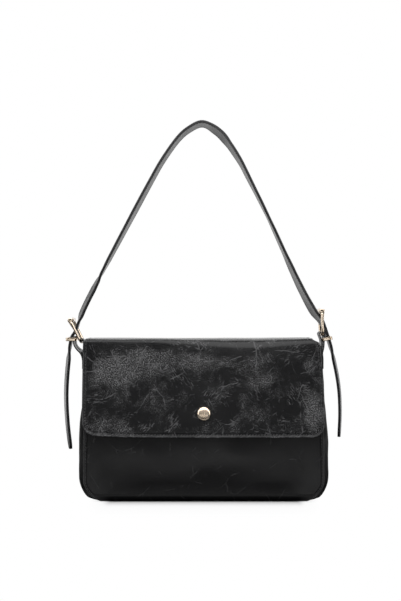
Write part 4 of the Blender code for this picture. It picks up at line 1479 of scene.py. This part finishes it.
inside = {
    "bottom": 0.0038, "top": 0.1620, "inset": 0.0017, "footInset": 0.0030, "fabric": 0.0006,
    "facing": 0.026, "facingRise": 0.0022, "facingLeather": 0.0008, "cornerRadius": 0.010,
    "slack": 0.0009, "slackSpan": 0.03, "pocketHalfWidth": 0.062, "pocketTop": 0.132,
    "pocketDepth": 0.077, "pocketGap": 0.0007, "gape": 0.0016, "gapeSpan": 0.05,
    "slackSize": 0.035, "facingGap": 0.0001, "facingSeam": 0.0025, "facingSeamDepth": 0.0009,
    "pocketSeam": 0.002, "pocketSeamDepth": 0.0008, "pocketSeamShare": 0.98,
    "pocketSeamRise": 0.0015,
    # How the bag's floor closes, as shares of its last ring; it rises past the flat share
    "foot": 0.010, "floorRise": 0.0062, "flatShare": 0.93, "riseSpan": 0.07,
    "floorShares": (0.985, 0.95, 0.80, 0.50, 0.20),
}


def liningPoint(turn, height, inset=0.0):
    # Round a rounded rectangle; turn runs from 0 to 1 and starts in the middle of the front
    width = seamWidth(max(height - inside["footInset"], 0.0))
    halfX = width - shell["leather"] - inside["inset"] - inset
    halfY = gussetHalfDepth(height) - inside["inset"] - inset
    radius = min(inside["cornerRadius"], halfY * 0.9)
    straightX, straightY = halfX - radius, halfY - radius
    arc = pi / 2 * radius
    lengths = [straightX, arc, 2 * straightY, arc, 2 * straightX, arc, 2 * straightY, arc,
               straightX]
    along = turn * sum(lengths)
    index = 0
    while along > lengths[index] and index < len(lengths) - 1:
        along -= lengths[index]
        index += 1
    share = min(along / max(lengths[index], 1e-9), 1.0)
    angle = share * pi / 2
    sine, cosine = radius * sin(angle), radius * cos(angle)
    x, y = ((straightX * share, -halfY), (straightX + sine, -straightY - cosine),
            (halfX, straightY * (2 * share - 1)), (straightX + cosine, straightY + sine),
            (straightX * (1 - 2 * share), halfY), (-straightX - sine, straightY + cosine),
            (-halfX, straightY * (1 - 2 * share)), (-straightX - cosine, -straightY - sine),
            (straightX * (share - 1), -halfY))[index]
    return Vector((x, y, height))


def buildLining():
    count = 200
    rings = []
    for height in spread(inside["top"], inside["foot"], 60):
        ring = []
        for step in range(count):
            point = liningPoint(step / count, height)
            inward = Vector((-point.x, -point.y, 0)).normalized()
            loose = min((inside["top"] - height) / inside["slackSpan"], 1.0)
            dent = drape(point.x, point.y, height, inside["slackSize"])
            slack = inside["slack"] * loose * (1 + dent) / 2
            ring.append(point + inward * max(slack, 0.0))
        rings.append(ring)
    foot = rings[-1]
    for share in inside["floorShares"]:
        past = max(share - inside["flatShare"], 0.0)
        floor = inside["bottom"] + inside["floorRise"] * past / inside["riseSpan"]
        rings.append([Vector((point.x * share, point.y * share, floor)) for point in foot])
    faces = ringFaces(len(rings), count)
    faces.append(tuple((len(rings) - 1) * count + step for step in range(count)))
    piece = newPiece("liningBag", [point for ring in rings for point in ring], faces,
                     [liningTwill])
    turnNormals(piece)
    addModifier(piece, "SOLIDIFY", thickness=inside["fabric"], offset=-1)
    applyAll(piece)
    smoothAt(piece, 50)
    finish(piece, "shell", ["lining"])


def buildFacing():
    # The leather strip sewn round the inside of the mouth
    count = 220
    low = inside["top"] - inside["facing"]
    heights = spread(inside["top"] + inside["facingRise"], low, 14)
    points = [liningPoint(step / count, height, inside["fabric"] + inside["facingGap"])
              for height in heights for step in range(count)]
    piece = newPiece("mouthFacing", points, ringFaces(len(heights), count),
                     [panelLeather, edgePaint])
    mapSheet(piece, [(point.x + point.y, point.z + 4.0) for point in points])
    turnNormals(piece, inside=True)
    addModifier(piece, "SOLIDIFY", thickness=inside["facingLeather"], offset=1,
                material_offset_rim=1)
    applyAll(piece)
    smoothAt(piece, 50)
    finish(piece, "shell")
    line = []
    for step in range(count + 1):
        place = liningPoint((step % count) / count, low + inside["facingSeam"],
                            inside["fabric"] + inside["facingSeamDepth"])
        line.append((place, Vector((-place.x * 0.1, -place.y, 0))))
    finish(sewLines("mouthFacingStitches", [line], finThread), "shell")


def buildPocket():
    halfWidth, top = inside["pocketHalfWidth"], inside["pocketTop"]
    wall = inside["inset"] + inside["fabric"]
    rows = []
    for height in spread(top - inside["pocketDepth"], top, 40):
        depth = gussetHalfDepth(height) - wall - inside["pocketGap"]
        gape = inside["gape"] * max((height - top) / inside["gapeSpan"] + 1, 0.0)
        rows.append([Vector((x, depth - gape * (1 - (x / halfWidth) ** 2), height))
                     for x in spread(-halfWidth, halfWidth, 64)])
    piece = leatherSheet("slipPocket", rows, (0, -1, 0), inside["fabric"], [liningTwill] * 3, 0.0)
    finish(piece, "shell", ["inner_pocket"])
    places = [(-1, z) for z in spread(1, 0, 20)] + [(x, 0) for x in spread(-1, 1, 30)[1:-1]]
    places += [(1, z) for z in spread(0, 1, 20)]
    line = []
    for x, z in places:
        drop = inside["pocketDepth"] * (1 - z * inside["pocketSeamShare"])
        height = top - drop + inside["pocketSeamRise"]
        depth = gussetHalfDepth(height) - wall - inside["pocketSeamDepth"]
        across = x * (halfWidth - inside["pocketSeam"])
        line.append((Vector((across, depth, height)), Vector((0, -1, 0))))
    finish(sewLines("slipPocketStitches", [line], finThread), "shell")


buildLining()
buildFacing()
buildPocket()
boardSkins = cadNodes["base_board"].data.materials
boardSkins.clear()
boardSkins.append(greyBoard)
print("inside lined")


# ---- floor, light and camera

studio = {
    "eye": (-0.0036, -1.100, 0.216), "lens": 59.4, "sensor": 36.0, "horizon": 0.015, "room": 0.26,
    "backdrop": 0.95, "roomRise": (0.03, 0.19), "backdropRise": (0.78, 0.93),
    "floor": 0.80, "paintedShadow": 0.42, "paintedShadowReach": 0.030, "farFloor": 0.05,
    "mirroredPaintedShadow": 0.02, "mirroredPaintedShadowReach": 0.090,
    "foot": (0.100, 0.034, 0), "sideShare": (3.0, 1.0, 0), "shadowReach": 0.075,
    "paleStart": 0.03, "paleEnd": 0.14, "sweepStart": 0.15, "sweepEnd": 0.60,
    # Place, aim, width, height and watts
    "softboxes": {
        "mainSoftbox": ((0.0, -0.75, 1.25), (0, 0, 0.15), 2.0, 1.9, 30.0),
        "backSoftbox": ((0.0, 0.95, 1.40), (0, 0, 0.10), 1.8, 0.9, 8.0),
        "leftStrip": ((-1.15, -1.00, 0.55), (0, 0, 0.20), 0.70, 1.1, 6.0),
        "rightStrip": ((1.15, -1.00, 0.55), (0, 0, 0.20), 0.70, 1.1, 6.0),
        "lowSoftbox": ((0.0, -1.60, 0.066), (0, 0, 0.05), 1.00, 0.12, 0.56)},
}


def buildFloor():
    # Pale round the bag and dimmer far off, with a painted shadow darkening the floor at the bag's
    # foot, darker still in reflections; past the shadow the camera sees plain white
    floor = newPrimitive(bpy.ops.mesh.primitive_plane_add, size=30)
    floor.name = "paleFloor"
    material = bpy.data.materials.new("paleFloor")
    material.use_nodes = True
    tree = material.node_tree
    tree.nodes.clear()
    place = addNode(tree, "ShaderNodeTexCoord").outputs["Object"]
    past = vectorNode(tree, "SUBTRACT", vectorNode(tree, "ABSOLUTE", place), studio["foot"])
    past = vectorNode(tree, "MAXIMUM", past, (0, 0, 0))
    away = vectorNode(tree, "LENGTH", vectorNode(tree, "MULTIPLY", past, studio["sideShare"]))
    seen = addNode(tree, "ShaderNodeLightPath").outputs["Is Camera Ray"]
    # Painted shadow: by the bag's foot the floor's colour darkens, for the camera and, nearly black
    # and reaching further, for reflections
    reach = mixValue(tree, seen, studio["mirroredPaintedShadowReach"], studio["paintedShadowReach"])
    beyondPaintedShadow = rangeNode(tree, mathNode(tree, "DIVIDE", away, reach), 0.0, 1.0)
    paintedShadow = mixValue(tree, seen, studio["mirroredPaintedShadow"], studio["paintedShadow"])
    colour = mixColour(tree, beyondPaintedShadow, paintedShadow, (*[studio["floor"]] * 3, 1))
    dim = rangeNode(tree, away, studio["paleStart"], studio["paleEnd"])
    colour = mixColour(tree, dim, colour, (*[studio["farFloor"]] * 3, 1))
    matt = addNode(tree, "ShaderNodeBsdfDiffuse", {"Color": colour})
    near = mathNode(tree, "SUBTRACT", 1.0, mathNode(tree, "DIVIDE", away, studio["shadowReach"]))
    near = mathNode(tree, "POWER", mathNode(tree, "MAXIMUM", near, 0.0), 2.0)
    white = mathNode(tree, "SUBTRACT", 1.0, near)
    # Behind the bag the paper sweeps up into the backdrop, which reflections see
    depth = addNode(tree, "ShaderNodeSeparateXYZ", {0: place}).outputs["Y"]
    sweep = rangeNode(tree, depth, studio["sweepStart"], studio["sweepEnd"])
    share = mixValue(tree, seen, sweep, white)
    glow = mixValue(tree, seen, studio["backdrop"], 1.0)
    plain = addNode(tree, "ShaderNodeEmission", {"Strength": glow})
    floorMix = addNode(tree, "ShaderNodeMixShader",
                       {0: share, 1: matt.outputs[0], 2: plain.outputs[0]})
    addNode(tree, "ShaderNodeOutputMaterial", {"Surface": floorMix.outputs[0]})
    floor.data.materials.append(material)


def buildWorld():
    world = bpy.data.worlds.new("studioWorld")
    bpy.context.scene.world = world
    world.use_nodes = True
    tree = world.node_tree
    tree.nodes.clear()
    seen = addNode(tree, "ShaderNodeLightPath").outputs["Is Camera Ray"]
    heading = addNode(tree, "ShaderNodeTexCoord").outputs["Generated"]
    parts = addNode(tree, "ShaderNodeSeparateXYZ", {0: heading}).outputs
    level = rangeNode(tree, parts["Z"], *studio["roomRise"], studio["horizon"], studio["room"])
    level = rangeNode(tree, parts["Y"], *studio["backdropRise"], level, studio["backdrop"])
    back = addNode(tree, "ShaderNodeBackground",
                   {"Color": (1, 1, 1, 1), "Strength": mixValue(tree, seen, level, 1.0)})
    addNode(tree, "ShaderNodeOutputWorld", {"Surface": back.outputs[0]})


def addSoftbox(name, place, aim, width, height, power):
    light = bpy.data.lights.new(name, "AREA")
    light.shape = "RECTANGLE"
    light.size = width
    light.size_y = height
    light.energy = power
    lamp = addObject(name, light)
    lamp.location = place
    lamp.rotation_euler = (Vector(aim) - Vector(place)).to_track_quat("-Z", "Y").to_euler()
    lamp.visible_camera = False


def buildCamera():
    data = bpy.data.cameras.new("photoCamera")
    data.sensor_width = studio["sensor"]
    data.lens = studio["lens"]
    camera = addObject("photoCamera", data)
    camera.location = studio["eye"]
    camera.rotation_euler = (pi / 2, 0, 0)
    bpy.context.scene.camera = camera


buildFloor()
buildWorld()
for name, settings in studio["softboxes"].items():
    addSoftbox(name, *settings)
buildCamera()
bpy.context.scene.view_settings.view_transform = "Standard"
print("studio lit")

bpy.context.view_layer.update()
